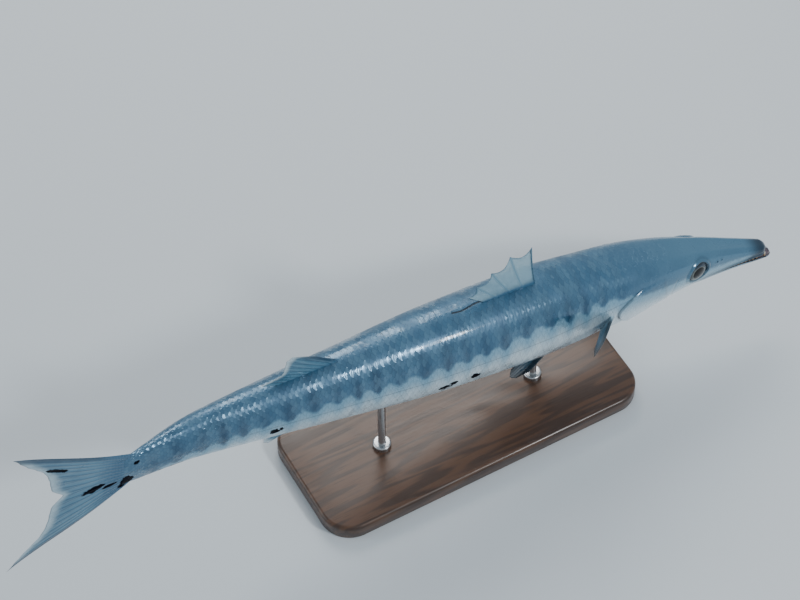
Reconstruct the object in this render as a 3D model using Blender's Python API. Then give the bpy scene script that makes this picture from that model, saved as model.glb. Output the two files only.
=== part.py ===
"""Great barracuda, a still life-size model on a plain display stand.

The fish is drawn in its own body space first: u runs back from the tip of the lower jaw,
v to the fish's left and w up. One function, place(), then bends that space sideways along
the swimming curve, rolls and pitches it, and lifts it onto the stand.
All sizes are in metres. Shares are shares of the standard length, jaw tip to tail base.
"""

import math

import bmesh
import bpy
import numpy as np

# Driving sizes
STANDARD_LENGTH = 0.93  # tip of the lower jaw to the base of the caudal fin
GAP = 0.0003  # kept between pieces that touch
SIDES = 32  # flat sides round the body

# Pose on the stand
PITCH = math.radians(-8.0)  # nose down
ROLL = math.radians(4.0)  # left side a little up
BEND = (0.0, -0.34, 1.10)  # yaw in radians, by powers 1 to 3 of the share behind mid-body
FLICK = (0.88, 1.18, 0.12)  # first and last share of the tail's sideways flick, and its yaw
MID_SHARE = 0.5
MID_PLACE = (0.0817, 0.0061, 0.185)  # where mid-body sits

# The body's stations: share behind the jaw tip, then shares of the length for the back's
# height, the belly's depth, half the width, and the level where the body is widest
STATIONS = np.array((
    (0.000, 0.0030, 0.0140, 0.0085, -0.0040),
    (0.030, 0.0095, 0.0205, 0.0130, -0.0030),
    (0.070, 0.0190, 0.0285, 0.0180, -0.0010),
    (0.120, 0.0325, 0.0390, 0.0255, 0.0020),
    (0.190, 0.0470, 0.0505, 0.0385, 0.0030),
    (0.270, 0.0600, 0.0615, 0.0495, 0.0010),
    (0.400, 0.0715, 0.0710, 0.0565, 0.0000),
    (0.540, 0.0685, 0.0680, 0.0530, 0.0000),
    (0.680, 0.0570, 0.0560, 0.0425, 0.0000),
    (0.800, 0.0460, 0.0440, 0.0320, 0.0000),
    (0.900, 0.0380, 0.0365, 0.0215, 0.0000),
    (0.970, 0.0315, 0.0305, 0.0115, 0.0000),
    (1.000, 0.0295, 0.0285, 0.0055, 0.0000),
))
HEAD_TOP_POWER = 3.0  # flat crown
HEAD_LOW_POWER = 2.1  # narrow jaw
BODY_POWER = 2.15
POWER_BLEND = (0.16, 0.34)  # shares between which the head's section turns into the body's

# Mouth
JAW_TIP = 0.0
SNOUT_TIP = 0.012  # the upper jaw ends behind the lower one
SNOUT_ROUND = 0.010  # how far back the snout's rounding reaches
JAW_ROUND = 0.012
MOUTH_CORNER = 0.122
JAW_END = 0.162
MOUTH_HEIGHTS = (-0.0040, -0.0205)  # mouth line at the tip and at the corner
GAPE = 0.0065  # the mouth's opening at the tip
LIP = 0.0012  # how far the lips swell
LIP_TURNS = (0.10, 0.26)  # turn from the mouth line to the lip's crest and to its far side
PALATE_ARCH = 0.0050
FLOOR_ARCH = 0.0055
JAW_HEEL = 0.0030  # thickness left at the jaw's hind end, as a share

# Teeth: a fang is its share, its inset from the lip, its length and its radius;
# a row is its first and last share, its number on each side and its inset
TOOTH_ROOT = 0.0045
TOOTH_LENGTH = 0.0036
TOOTH_RADIUS = 0.0010
TOOTH_FILL = 0.80  # longest tooth as a part of the local gape
LOWER_FANGS = ((0.0115, 0.0030, 0.0070, 0.0014),)
UPPER_FANGS = ((0.0240, 0.0045, 0.0070, 0.0014), (0.0330, 0.0045, 0.0060, 0.0013))
LOWER_TEETH = (0.024, 0.090, 8, 0.0030)
UPPER_TEETH = (0.042, 0.094, 7, 0.0016)

# Eyes, nostrils
EYE_SHARE = 0.135
EYE_LEVEL = 0.0105
EYE_RADIUS = 0.0165
EYE_HALF_DEPTH = 0.0070
EYE_INSET = 0.0040
RIM_RADIUS = 0.0018
RIM_INSET = 0.0008
NOSTRIL_SHARES = (0.094, 0.102)
NOSTRIL_RADII = (0.0011, 0.0015)
NOSTRIL_LEVEL = 0.0150
NOSTRIL_DEPTH = 0.0025

# Gill covers
COVER_LEVELS = (0.0330, -0.0530)  # top and bottom
COVER_FRONT = 0.188
COVER_POINT = 0.276
COVER_POINT_LEVEL = 0.004
COVER_CREASE = 0.0009  # how far its front edge stands off the cheek
COVER_EDGE = 0.0028  # how far its hind edge stands off the body

# Cuts between the lengths of the body
NECK_CUT = 0.258
FRONT_CUT = 0.440
REAR_CUT = 0.680

# Tail fin: where its rays start, half its height, and the share its margin reaches at
# parts of that height
TAIL_ROOT_SHARE = 0.988
TAIL_ROOT_LEVEL = 0.0265
TAIL_HALF_SPAN = 0.129
TAIL_MARGIN = np.array((
    (0.00, 1.083), (0.15, 1.099), (0.33, 1.103), (0.50, 1.110), (0.78, 1.137), (1.00, 1.156),
))

# Rays: half their thickness at root and tip, half the web's, and the web's part of the ray's
MEDIAN_RAY = (0.0020, 0.00045, 0.00030)
PAIRED_RAY = (0.0022, 0.00045, 0.00030)
TAIL_RAY = (0.0032, 0.00050, 0.00030)
WEB_PART = 0.50
FIN_SUNK = 0.0060  # how deep a fin's root starts inside the body before it is trimmed
FIN_CUP = 0.05  # how far a paired fin is hollowed, as a part of its length

# Median fins: first share, base as a share, then each ray's length as a share and its lean
# in degrees back from upright
SPINY_START = 0.396
SPINY_BASE = 0.074
SPINY_LENGTHS = (0.092, 0.092, 0.078, 0.058, 0.036)
SPINY_LEANS = (16, 25, 35, 46, 56)
SPINY_NOTCH = 0.82  # how far the web between two spines reaches
SOFT_NOTCH = 0.96
SOFT_START = 0.684
SOFT_BASE = 0.080
ANAL_START = 0.700
ANAL_BASE = 0.076
ANAL_PART = 0.93  # the anal fin's height as a part of the soft dorsal's
SOFT_LENGTHS = (0.048, 0.080, 0.077, 0.067, 0.057, 0.048, 0.042, 0.037, 0.035, 0.038)
SOFT_LEANS = (56, 57, 59, 61, 63, 65, 67, 69, 71, 74)

# Paired fins: share and level of the root, its length as a share, its lean in degrees below
# level, the fan between first and last ray, and the spread out from the flank and down
PECTORAL_ROOT = (0.284, -0.012, 0.026, 72)
PECTORAL_FAN = 22
PECTORAL_SPREAD = {"left": (16, 26), "right": (38, -14)}
PECTORAL_LENGTHS = (0.100, 0.112, 0.109, 0.102, 0.094, 0.085, 0.076, 0.067, 0.058, 0.050)
PELVIC_ROOT = (0.368, -0.060, 0.020, 20)
PELVIC_FAN = 30
PELVIC_SPREAD = (13, 7)
PELVIC_LENGTHS = (0.060, 0.074, 0.071, 0.064, 0.055, 0.045)
PAIRED_NOTCH = 0.97

# Stand
BASE_LENGTH = 0.460
BASE_WIDTH = 0.190
BASE_THICKNESS = 0.022
BASE_CORNER = 0.040
BASE_EASE = 0.005  # radius of the slab's upper edge
BASE_CHAMFER = 0.0015  # on its lower edge
BASE_CENTRE = (0.0849, 0.0103)
ROD_RADIUS = 0.0050
COLLAR_RADIUS = 0.0120
COLLAR_HEIGHT = 0.0070
ROD_SHARES = (0.365, 0.610)
ROD_SIDES = 16


def clear_scene():
    for obj in list(bpy.data.objects):
        bpy.data.objects.remove(obj, do_unlink=True)


def material(name, colour, roughness, metallic=0.0):
    made = bpy.data.materials.new(name)
    made.use_nodes = True
    shader = made.node_tree.nodes["Principled BSDF"]
    shader.inputs["Base Color"].default_value = (*colour, 1.0)
    shader.inputs["Roughness"].default_value = roughness
    shader.inputs["Metallic"].default_value = metallic
    return made


def through(xs, ys, x):
    """Smooth curve through a few stations, without overshoot (monotone cubic)."""
    x = np.asarray(x, float)
    step = np.diff(xs)
    slope = np.diff(ys) / step
    inner = np.where(
        slope[:-1] * slope[1:] > 0,
        2 * slope[:-1] * slope[1:] / np.where(slope[:-1] + slope[1:] == 0, 1, slope[:-1] + slope[1:]),
        0.0,
    )
    tangent = np.concatenate([[slope[0]], inner, [slope[-1]]])
    k = np.clip(np.searchsorted(xs, x, side="right") - 1, 0, len(step) - 1)
    t = (x - xs[k]) / step[k]
    return (
        ys[k] * (1 + 2 * t) * (1 - t) ** 2
        + tangent[k] * step[k] * t * (1 - t) ** 2
        + ys[k + 1] * t * t * (3 - 2 * t)
        + tangent[k + 1] * step[k] * t * t * (t - 1)
    )


def ramp(low, high, x):
    """0 below low, 1 above high, smooth between."""
    t = np.clip((np.asarray(x, float) - low) / (high - low), 0, 1)
    return t * t * (3 - 2 * t)


def outline(share):
    """Back height, belly depth, half width and widest level at a share of the length."""
    return tuple(through(STATIONS[:, 0], STATIONS[:, c], share) for c in (1, 2, 3, 4))


def powers(share):
    """Superellipse powers of the upper and the lower half of the section."""
    to_body = ramp(*POWER_BLEND, share)
    return (
        HEAD_TOP_POWER + (BODY_POWER - HEAD_TOP_POWER) * to_body,
        HEAD_LOW_POWER + (BODY_POWER - HEAD_LOW_POWER) * to_body,
    )


def skin(share, turn):
    """Body-space point on the skin. turn is 0 on the back, + to the left, pi under the belly."""
    share, turn = np.broadcast_arrays(np.asarray(share, float), np.asarray(turn, float))
    back, belly, half_width, level = outline(share)
    upper_power, lower_power = powers(share)
    upper = np.cos(turn) >= 0
    power = np.where(upper, upper_power, lower_power)
    across = np.sign(np.sin(turn)) * np.abs(np.sin(turn)) ** (2 / power)
    along = np.abs(np.cos(turn)) ** (2 / power)
    height = level + np.where(upper, (back - level) * along, -(belly + level) * along)
    return np.stack([share, half_width * across, height], axis=-1) * STANDARD_LENGTH


def skin_normal(share, turn):
    """Outward unit normal of the skin, from small steps along it."""
    step = 1e-3
    along = skin(share + step, turn) - skin(share - step, turn)
    around = skin(share, turn + step) - skin(share, turn - step)
    normal = np.cross(along, around)
    return normal / np.linalg.norm(normal, axis=-1, keepdims=True)


def lifted_skin(share, turn, lift):
    return skin(share, turn) + skin_normal(share, turn) * np.asarray(lift)[..., None]


def swimming_curve():
    """The body's middle line seen from above, as shares behind the tip, x, y and yaw."""
    shares = np.linspace(-0.05, 1.25, 521)
    behind = shares - MID_SHARE
    yaw = BEND[0] * behind + BEND[1] * behind**2 + BEND[2] * behind**3
    start, end, amount = FLICK
    yaw += amount * np.sin(2 * math.pi * np.clip((shares - start) / (end - start), 0, 1))
    step = np.diff(shares) * STANDARD_LENGTH
    mean_yaw = (yaw[1:] + yaw[:-1]) / 2
    x = -np.concatenate([[0.0], np.cumsum(np.cos(mean_yaw) * step)])
    y = -np.concatenate([[0.0], np.cumsum(np.sin(mean_yaw) * step)])
    return (
        shares,
        x - np.interp(MID_SHARE, shares, x),
        y - np.interp(MID_SHARE, shares, y),
        yaw,
    )


CURVE = swimming_curve()


def place(points):
    """Body space to the world: bend sideways, roll, pitch, and lift onto the stand."""
    points = np.asarray(points, float)
    share = points[..., 0] / STANDARD_LENGTH
    yaw = np.interp(share, CURVE[0], CURVE[3])
    x = np.interp(share, CURVE[0], CURVE[1]) - points[..., 1] * np.sin(yaw)
    y = np.interp(share, CURVE[0], CURVE[2]) + points[..., 1] * np.cos(yaw)
    z = points[..., 2]
    y, z = y * math.cos(ROLL) - z * math.sin(ROLL), y * math.sin(ROLL) + z * math.cos(ROLL)
    x, z = x * math.cos(PITCH) - z * math.sin(PITCH), x * math.sin(PITCH) + z * math.cos(PITCH)
    return np.stack([x, y, z], axis=-1) + np.array(MID_PLACE)


def mesh_object(name, points, faces, paint, smooth=True):
    """An object from world points and faces, with doubles merged and normals facing out."""
    mesh = bpy.data.meshes.new(name)
    mesh.from_pydata([tuple(p) for p in np.asarray(points).reshape(-1, 3)], [], faces)
    shape = bmesh.new()
    shape.from_mesh(mesh)
    bmesh.ops.remove_doubles(shape, verts=shape.verts, dist=2e-6)
    bmesh.ops.dissolve_degenerate(shape, edges=shape.edges, dist=1e-6)
    bmesh.ops.recalc_face_normals(shape, faces=shape.faces)
    shape.to_mesh(mesh)
    shape.free()
    if smooth:
        mesh.shade_smooth()
        mesh.set_sharp_from_angle(angle=math.radians(40))
    obj = bpy.data.objects.new(name, mesh)
    bpy.context.scene.collection.objects.link(obj)
    if paint is not None:
        mesh.materials.append(paint)
    return obj


def loft(name, rings, paint):
    """A closed solid through rings of body-space points, all with the same count."""
    rings = np.asarray(rings, float)
    count, around = rings.shape[:2]
    faces = []
    for i in range(count - 1):
        for j in range(around):
            k = (j + 1) % around
            faces.append((i * around + j, i * around + k, (i + 1) * around + k, (i + 1) * around + j))
    points = place(rings).reshape(-1, 3)
    ends = (range(around), range((count - 1) * around, count * around))
    middles = []
    for end in ends:
        middles.append(points[list(end)].mean(axis=0))
        hub = count * around + len(middles) - 1
        ring = list(end)
        faces += [(ring[j], ring[(j + 1) % around], hub) for j in range(around)]
    return mesh_object(name, np.vstack([points, middles]), faces, paint)


def keep_largest(obj):
    """Drops loose scraps and sealed hollows that a Boolean leaves, by island size."""
    shape = bmesh.new()
    shape.from_mesh(obj.data)
    left = set(shape.verts)
    islands = []
    while left:
        stack = [left.pop()]
        island = set(stack)
        while stack:
            for edge in stack.pop().link_edges:
                for vert in edge.verts:
                    if vert in left:
                        left.discard(vert)
                        island.add(vert)
                        stack.append(vert)
        islands.append(island)
    spans = [
        sum(max(v.co[a] for v in island) - min(v.co[a] for v in island) for a in range(3))
        for island in islands
    ]
    keep = islands[int(np.argmax(spans))]
    bmesh.ops.delete(shape, geom=[v for v in shape.verts if v not in keep], context="VERTS")
    shape.to_mesh(obj.data)
    shape.free()


def combine(obj, others, operation, solver="MANIFOLD"):
    """Applies one Boolean of obj with a collection of closed objects, then removes them."""
    helpers = bpy.data.collections.new("helpers")
    bpy.context.scene.collection.children.link(helpers)
    for other in others:
        for owner in list(other.users_collection):
            owner.objects.unlink(other)
        helpers.objects.link(other)
    modifier = obj.modifiers.new("combine", "BOOLEAN")
    modifier.operation = operation
    modifier.operand_type = "COLLECTION"
    modifier.collection = helpers
    modifier.solver = solver
    graph = bpy.context.evaluated_depsgraph_get()
    made = bpy.data.meshes.new_from_object(obj.evaluated_get(graph), depsgraph=graph)
    obj.modifiers.clear()
    old = obj.data
    obj.data = made
    bpy.data.meshes.remove(old)
    made.name = obj.name
    for other in others:
        bpy.data.objects.remove(other, do_unlink=True)
    bpy.data.collections.remove(helpers)
    keep_largest(obj)
    return obj


def ring_turns(edge=math.pi, count=SIDES + 1):
    """Turns from the left edge over the back to the right edge."""
    return np.linspace(edge, -edge, count)


def body_rings(shares, lift=0.0):
    turns = ring_turns()[:-1]
    return lifted_skin(np.asarray(shares)[:, None], turns[None, :], lift * np.ones((1, len(turns))))


def body_length(name, start, end, count, paint):
    """One length of the body between two cuts, each drawn back by half the gap."""
    half_gap = GAP / 2 / STANDARD_LENGTH
    shares = np.linspace(start + half_gap, end - half_gap, count)
    return loft(name, body_rings(shares), paint)


def body_cutter(start, end, count=40):
    """The body swollen by the gap, to trim what grows on it."""
    return loft("body_cutter", body_rings(np.linspace(start, end, count), GAP), None)


def mouth_line(share):
    """Height of the mouth line, and behind its corner of the jaw's edge, as a share."""
    tip, corner = MOUTH_HEIGHTS
    _, heel_belly, _, _ = outline(JAW_END)
    front = tip + (corner - tip) * np.clip(share / MOUTH_CORNER, 0, 1) ** 1.15
    back = np.clip((share - MOUTH_CORNER) / (JAW_END - MOUTH_CORNER), 0, 1)
    return front + (-(heel_belly - JAW_HEEL) - corner) * back**1.1


def mouth_turn(share):
    """Turn at which the mouth line meets the skin."""
    _, belly, _, level = outline(share)
    _, lower_power = powers(share)
    drop = np.clip((level - mouth_line(share)) / (belly + level), 0, 1)
    return math.pi - np.arccos(np.clip(drop ** (lower_power / 2), 0, 1))


def jaw_drop(share):
    """How far the lower jaw hangs below the closed mouth."""
    return GAPE * np.clip(1 - np.asarray(share) / MOUTH_CORNER, 0, 1)


def tip_round(share, tip, radius):
    """Shrinks sections near a tip, so that it ends in a round nose."""
    return np.sqrt(np.clip(1 - (1 - np.clip((share - tip) / radius, 0, 1)) ** 2, 1e-4, 1))


def lip_turns(start, end, count):
    """Turns from edge to edge, crowded at both ends, where the lips are, and their lifts."""
    crest, far = (math.copysign(step, end - start) for step in LIP_TURNS)
    middle = np.linspace(start + far, end - far, count - 4)
    turns = np.concatenate([[start, start + crest], middle, [end - crest, end]])
    lifts = np.zeros(count)
    lifts[[1, -2]] = LIP
    lifts[[0, -1]] = LIP * 0.5
    return turns, lifts


def lip_swell(share):
    """Share of the full lip at a station: none behind the corner of the mouth."""
    return 1 - ramp(MOUTH_CORNER - 0.010, MOUTH_CORNER + 0.012, share)


def upper_ring(share, inner_count=4):
    """Section of the upper head: the skin above the mouth line, then the palate."""
    edge = mouth_turn(share)
    turns, lifts = lip_turns(edge, -edge, SIDES + 1)
    outer = lifted_skin(share, turns, lifts * lip_swell(share))
    across = np.linspace(-1, 1, inner_count + 2)[1:-1]
    arch = PALATE_ARCH * (1 - ramp(MOUTH_CORNER * 0.75, MOUTH_CORNER, share))
    inner = np.stack(
        [
            np.full(inner_count, outer[0, 0]),
            outer[0, 1] * across,
            outer[0, 2] + arch * (1 - across**4),
        ],
        axis=-1,
    )
    ring = np.vstack([outer, inner])
    shrink = tip_round(share, SNOUT_TIP, SNOUT_ROUND)
    centre = (ring[:, 2].max() + ring[:, 2].min()) / 2
    ring[:, 1] *= shrink
    ring[:, 2] = centre + (ring[:, 2] - centre) * shrink
    return ring


def full_ring(share, inner_count=4):
    """Section behind the jaw, with the same point count as upper_ring."""
    outer = skin(share, ring_turns())
    return np.vstack([outer, np.repeat(outer[:1], inner_count, axis=0)])


def jaw_ring(share, outer_count=17, inner_count=4):
    """Section of the lower jaw: the skin below the mouth line, then the mouth's floor."""
    edge = mouth_turn(share)
    turns, lifts = lip_turns(edge, 2 * math.pi - edge, outer_count)
    outer = lifted_skin(share, turns, lifts * lip_swell(share))
    across = np.linspace(-1, 1, inner_count + 2)[1:-1]
    arch = FLOOR_ARCH * (1 - ramp(MOUTH_CORNER * 0.7, MOUTH_CORNER, share))
    inner = np.stack(
        [
            np.full(inner_count, outer[0, 0]),
            outer[0, 1] * across,
            outer[0, 2] - arch * (1 - across**4),
        ],
        axis=-1,
    )
    ring = np.vstack([outer, inner])
    shrink = tip_round(share, JAW_TIP, JAW_ROUND)
    centre = (ring[:, 2].max() + ring[:, 2].min()) / 2
    ring[:, 1] *= shrink
    ring[:, 2] = centre + (ring[:, 2] - centre) * shrink - jaw_drop(share) - GAP
    return ring


def tooth(share, side, inset, length, radius, up, sides=4):
    """A pointed cone rooted in the jaw, leaning back a little."""
    ring = jaw_ring(share) if up else upper_ring(share)
    lip = ring[0]
    base = np.array([share * STANDARD_LENGTH, side * max(lip[1] - inset, radius), lip[2]])
    rise = 1.0 if up else -1.0
    root = base - np.array([0.0, 0.0, rise * TOOTH_ROOT])
    tip = base + np.array([length * 0.15, 0.0, rise * length])
    turn = np.linspace(0, 2 * math.pi, sides, endpoint=False)
    circle = np.stack([np.cos(turn), np.sin(turn), 0 * turn], axis=-1)
    points = np.vstack([root + circle * radius, base + circle * radius, [tip], [root]])
    faces = []
    for j in range(sides):
        k = (j + 1) % sides
        faces.append((j, k, sides + k, sides + j))
        faces.append((sides + j, sides + k, 2 * sides))
        faces.append((k, j, 2 * sides + 1))
    return mesh_object("tooth", place(points), faces, None)


def tooth_row(up):
    """Fangs at the tip and smaller teeth behind, never longer than the local gape."""
    made = []
    fangs = LOWER_FANGS if up else UPPER_FANGS
    first, last, count, inset = LOWER_TEETH if up else UPPER_TEETH
    for side in (-1, 1):
        for share, depth, length, radius in fangs:
            made.append(tooth(share, side, depth, length, radius, up, sides=5))
        for share in np.linspace(first, last, count):
            length = min(TOOTH_LENGTH, TOOTH_FILL * float(jaw_drop(share)))
            made.append(tooth(share, side, inset, length, TOOTH_RADIUS, up))
    return made


def level_turn(share, level):
    """Turn on the left flank at a height given as a share."""
    back, belly, _, widest = outline(share)
    upper_power, lower_power = powers(share)
    high = np.clip((level - widest) / (back - widest), 0, 1) ** (upper_power / 2)
    low = np.clip((widest - level) / (belly + widest), 0, 1) ** (lower_power / 2)
    return np.where(level >= widest, np.arccos(high), math.pi - np.arccos(low))


def side_frame(share, level, side, reach=EYE_RADIUS):
    """The plane that best fits a round patch of the flank: centre, outward, back and upward."""
    step = reach / STANDARD_LENGTH
    shares = share + step * np.array([0.0, 1.0, -1.0, 0.0, 0.0])
    levels = level + step * np.array([0.0, 0.0, 0.0, 1.0, -1.0])
    patch = skin(shares, side * level_turn(shares, levels))
    centre = (patch[0] + patch[1:].mean(axis=0)) / 2
    rearward = patch[1] - patch[2]
    rearward /= np.linalg.norm(rearward)
    outward = np.cross(rearward, patch[3] - patch[4]) * -side
    outward /= np.linalg.norm(outward)
    upward = np.cross(rearward, outward) * side
    return centre, outward, rearward, upward


def lens(name, share, level, side, radius, half_depth, inset, paint, segments=20, rows=8):
    """A flattened ball set into the flank, in body space and then placed."""
    centre, outward, rearward, upward = side_frame(share, level, side, radius)
    centre = centre - outward * inset
    polar = np.linspace(0, math.pi, rows + 1)[1:-1]
    turn = np.linspace(0, 2 * math.pi, segments, endpoint=False)
    points = [centre + outward * half_depth, centre - outward * half_depth]
    for p in polar:
        for t in turn:
            points.append(
                centre
                + outward * half_depth * math.cos(p)
                + (rearward * math.cos(t) + upward * math.sin(t)) * radius * math.sin(p)
            )
    faces = []
    for j in range(segments):
        k = (j + 1) % segments
        faces.append((0, 2 + j, 2 + k))
        last = 2 + (rows - 2) * segments
        faces.append((1, last + k, last + j))
        for i in range(rows - 2):
            a = 2 + i * segments
            b = a + segments
            faces.append((a + j, b + j, b + k, a + k))
    return mesh_object(name, place(np.array(points)), faces, paint)


def make_eye(name, side, paint, extra=0.0):
    """The eyeball, or with extra all round the hollow that it sits in."""
    radius, half_depth = EYE_RADIUS + extra, EYE_HALF_DEPTH + extra
    return lens(name, EYE_SHARE, EYE_LEVEL, side, radius, half_depth, EYE_INSET, paint)


def eye_rim(side, segments=20, sides=6):
    """The raised ring of the eye socket."""
    centre, outward, rearward, upward = side_frame(EYE_SHARE, EYE_LEVEL, side)
    ring_radius = EYE_RADIUS * 0.96
    points = []
    for t in np.linspace(0, 2 * math.pi, segments, endpoint=False):
        spoke = rearward * math.cos(t) + upward * math.sin(t)
        for p in np.linspace(0, 2 * math.pi, sides, endpoint=False):
            points.append(
                centre
                - outward * RIM_INSET
                + spoke * (ring_radius + RIM_RADIUS * math.cos(p))
                + outward * RIM_RADIUS * math.sin(p)
            )
    faces = []
    for i in range(segments):
        for j in range(sides):
            a, b = i * sides + j, i * sides + (j + 1) % sides
            c, d = ((i + 1) % segments) * sides + (j + 1) % sides, ((i + 1) % segments) * sides + j
            faces.append((a, b, c, d))
    return mesh_object("eye_rim", place(np.array(points)), faces, None)


def tip_stations(tip, radius, end, count):
    """Shares from a rounded tip backwards: a few close round the nose, then even steps."""
    nose = tip + radius * (1 - np.cos(np.linspace(0.10, math.pi / 2, 5)))
    return np.concatenate([nose, np.linspace(nose[-1], end, count)[1:]])


def make_head(paint):
    """The head without its lower jaw, with upper teeth, eye sockets and nostrils."""
    front = tip_stations(SNOUT_TIP, SNOUT_ROUND, JAW_END, 12)
    behind = np.linspace(JAW_END + 0.0006, NECK_CUT - GAP / 2 / STANDARD_LENGTH, 7)
    rings = [upper_ring(s) for s in front] + [full_ring(s) for s in behind]
    head = loft("head", rings, paint)
    combine(head, tooth_row(up=False) + [eye_rim(-1), eye_rim(1)], "UNION")
    cutters = []
    for side in (-1, 1):
        cutters.append(make_eye("socket", side, None, GAP))
        for share, radius in zip(NOSTRIL_SHARES, NOSTRIL_RADII):
            hole = lens("nostril", share, NOSTRIL_LEVEL, side, radius, NOSTRIL_DEPTH, 0.0, None, 8, 4)
            cutters.append(hole)
    return combine(head, cutters, "DIFFERENCE")


def make_jaw(paint):
    """The lower jaw with its teeth, longer than the snout above it."""
    end = JAW_END - GAP / STANDARD_LENGTH
    shares = tip_stations(JAW_TIP, JAW_ROUND, end, 11)
    jaw = loft("lower_jaw", [jaw_ring(s) for s in shares], paint)
    return combine(jaw, tooth_row(up=True), "UNION")


def cover_span(level):
    """Front and hind share of the gill cover at a level: a bent front edge, a soft point behind."""
    top, bottom = COVER_LEVELS
    t = np.clip((top - level) / (top - bottom), 0, 1)
    point = (top - COVER_POINT_LEVEL) / (top - bottom)
    reach = np.where(t < point, t / point, (1 - t) / (1 - point))
    top_hind = COVER_FRONT + 0.050
    low_hind = COVER_FRONT + 0.008
    end = np.where(t < point, top_hind, low_hind)
    hind = end + (COVER_POINT - end) * np.sin(reach * math.pi / 2) ** 0.9
    front = COVER_FRONT + 0.014 * (1 - t) ** 2 - 0.022 * t**2.2
    return front, hind


def make_gill_cover(name, side, paint, columns=7, rows=12):
    """A thin plate over the cheek: its outer face rises to a free hind edge."""
    outer, inner = [], []
    for level in np.linspace(*COVER_LEVELS, rows + 1):
        front, hind = cover_span(level)
        t = np.linspace(0, 1, columns + 1)
        shares = front + (hind - front) * t
        turns = side * level_turn(shares, level)
        rise = COVER_CREASE + (COVER_EDGE - COVER_CREASE) * t**1.3
        outer.append(lifted_skin(shares, turns, rise))
        inner.append(lifted_skin(shares, turns, np.full(columns + 1, -0.0015)))
    plate = closed_sheet(name, np.array(outer), np.array(inner), paint)
    cutter = body_cutter(COVER_FRONT - 0.05, COVER_POINT + 0.04, 14)
    return combine(plate, [cutter], "DIFFERENCE")


def closed_sheet(name, front, back, paint):
    """A closed solid between two grids of body-space points, split alike on both faces."""
    rows, columns = front.shape[:2]
    points = place(np.concatenate([front.reshape(-1, 3), back.reshape(-1, 3)]))
    shift = rows * columns
    faces = []
    for i in range(rows - 1):
        for j in range(columns - 1):
            a, b = i * columns + j, i * columns + j + 1
            c, d = a + columns, b + columns
            faces += [(a, b, d), (a, d, c)]
            faces += [(shift + a, shift + d, shift + b), (shift + a, shift + c, shift + d)]
    border = list(range(columns))
    border += [i * columns + columns - 1 for i in range(1, rows)]
    border += [(rows - 1) * columns + j for j in range(columns - 2, -1, -1)]
    border += [i * columns for i in range(rows - 2, 0, -1)]
    for k, a in enumerate(border):
        b = border[(k + 1) % len(border)]
        faces += [(a, shift + b, b), (a, shift + a, shift + b)]
    return mesh_object(name, points, faces, paint)


def fin_grid(roots, tips, half_thickness, sideways, sweep=0.0, rows=6):
    """Both faces of a fin: straight or swept rays from roots to tips, thick at the rays."""
    t = np.linspace(0, 1, rows + 1)[:, None, None]
    ray = tips - roots
    bow = np.array([1.0, 0.0, 0.0]) * sweep * np.linalg.norm(ray, axis=-1)[None, :, None]
    middle = roots + ray * t + bow * (t * t - t)
    offset = half_thickness[..., None] * sideways
    return middle + offset, middle - offset


def ray_thickness(ray_count, root_half, tip_half, web_half, rows=6):
    """Half thickness by row and column: a ridge at each ray and a thin web between."""
    t = np.linspace(0, 1, rows + 1)[:, None]
    ridge = root_half + (tip_half - root_half) * t
    is_ray = (np.arange(2 * ray_count - 1) % 2 == 0)[None, :]
    web = np.maximum(web_half, WEB_PART * ridge)
    return np.where(is_ray, ridge, np.minimum(web, ridge))


def median_fin(name, start, base, lengths, leans, paint, below=False, notch=SOFT_NOTCH, sweep=-0.10):
    """A fin on the midline. One length and one lean (degrees back from upright) for each ray."""
    rays = len(lengths)
    columns = np.linspace(0, rays - 1, 2 * rays - 1)
    is_web = np.arange(2 * rays - 1) % 2 == 1
    length = np.interp(columns, range(rays), lengths) * np.where(is_web, notch, 1.0)
    lean = np.radians(np.interp(columns, range(rays), leans))
    shares = start + base * columns / (rays - 1)
    back, belly, _, _ = outline(shares)
    up = -1.0 if below else 1.0
    level = -belly if below else back
    root_height = level * STANDARD_LENGTH - up * FIN_SUNK
    root = np.stack([shares * STANDARD_LENGTH, 0 * shares, root_height], axis=-1)
    direction = np.stack([np.sin(lean), 0 * lean, up * np.cos(lean)], axis=-1)
    tip = root + direction * (length * STANDARD_LENGTH + FIN_SUNK)[:, None]
    half = ray_thickness(rays, *MEDIAN_RAY)
    left, right = fin_grid(root, tip, half, np.array([0.0, 1.0, 0.0]), sweep)
    fin = closed_sheet(name, left, right, paint)
    cutter = body_cutter(start - 0.04, start + base + 0.05, 16)
    return combine(fin, [cutter], "DIFFERENCE")


def first_dorsal(paint):
    """Five spines, swept back, with a deeply notched web between them."""
    return median_fin(
        "first_dorsal_fin", SPINY_START, SPINY_BASE, SPINY_LENGTHS, SPINY_LEANS, paint,
        notch=SPINY_NOTCH, sweep=-0.06,
    )


def second_dorsal(paint):
    """The soft fin of the back: its second ray is the longest, the rest lean back."""
    return median_fin("second_dorsal_fin", SOFT_START, SOFT_BASE, SOFT_LENGTHS, SOFT_LEANS, paint)


def anal_fin(paint):
    """The fin below the soft dorsal fin, a little lower and a little behind it."""
    lengths = tuple(ANAL_PART * x for x in SOFT_LENGTHS)
    return median_fin("anal_fin", ANAL_START, ANAL_BASE, lengths, SOFT_LEANS, paint, below=True)


def tail_margin(across):
    """Share reached by the ray that ends at a part of the lobe's height: a bulge, then the tip."""
    return through(TAIL_MARGIN[:, 0], TAIL_MARGIN[:, 1], across)


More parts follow.
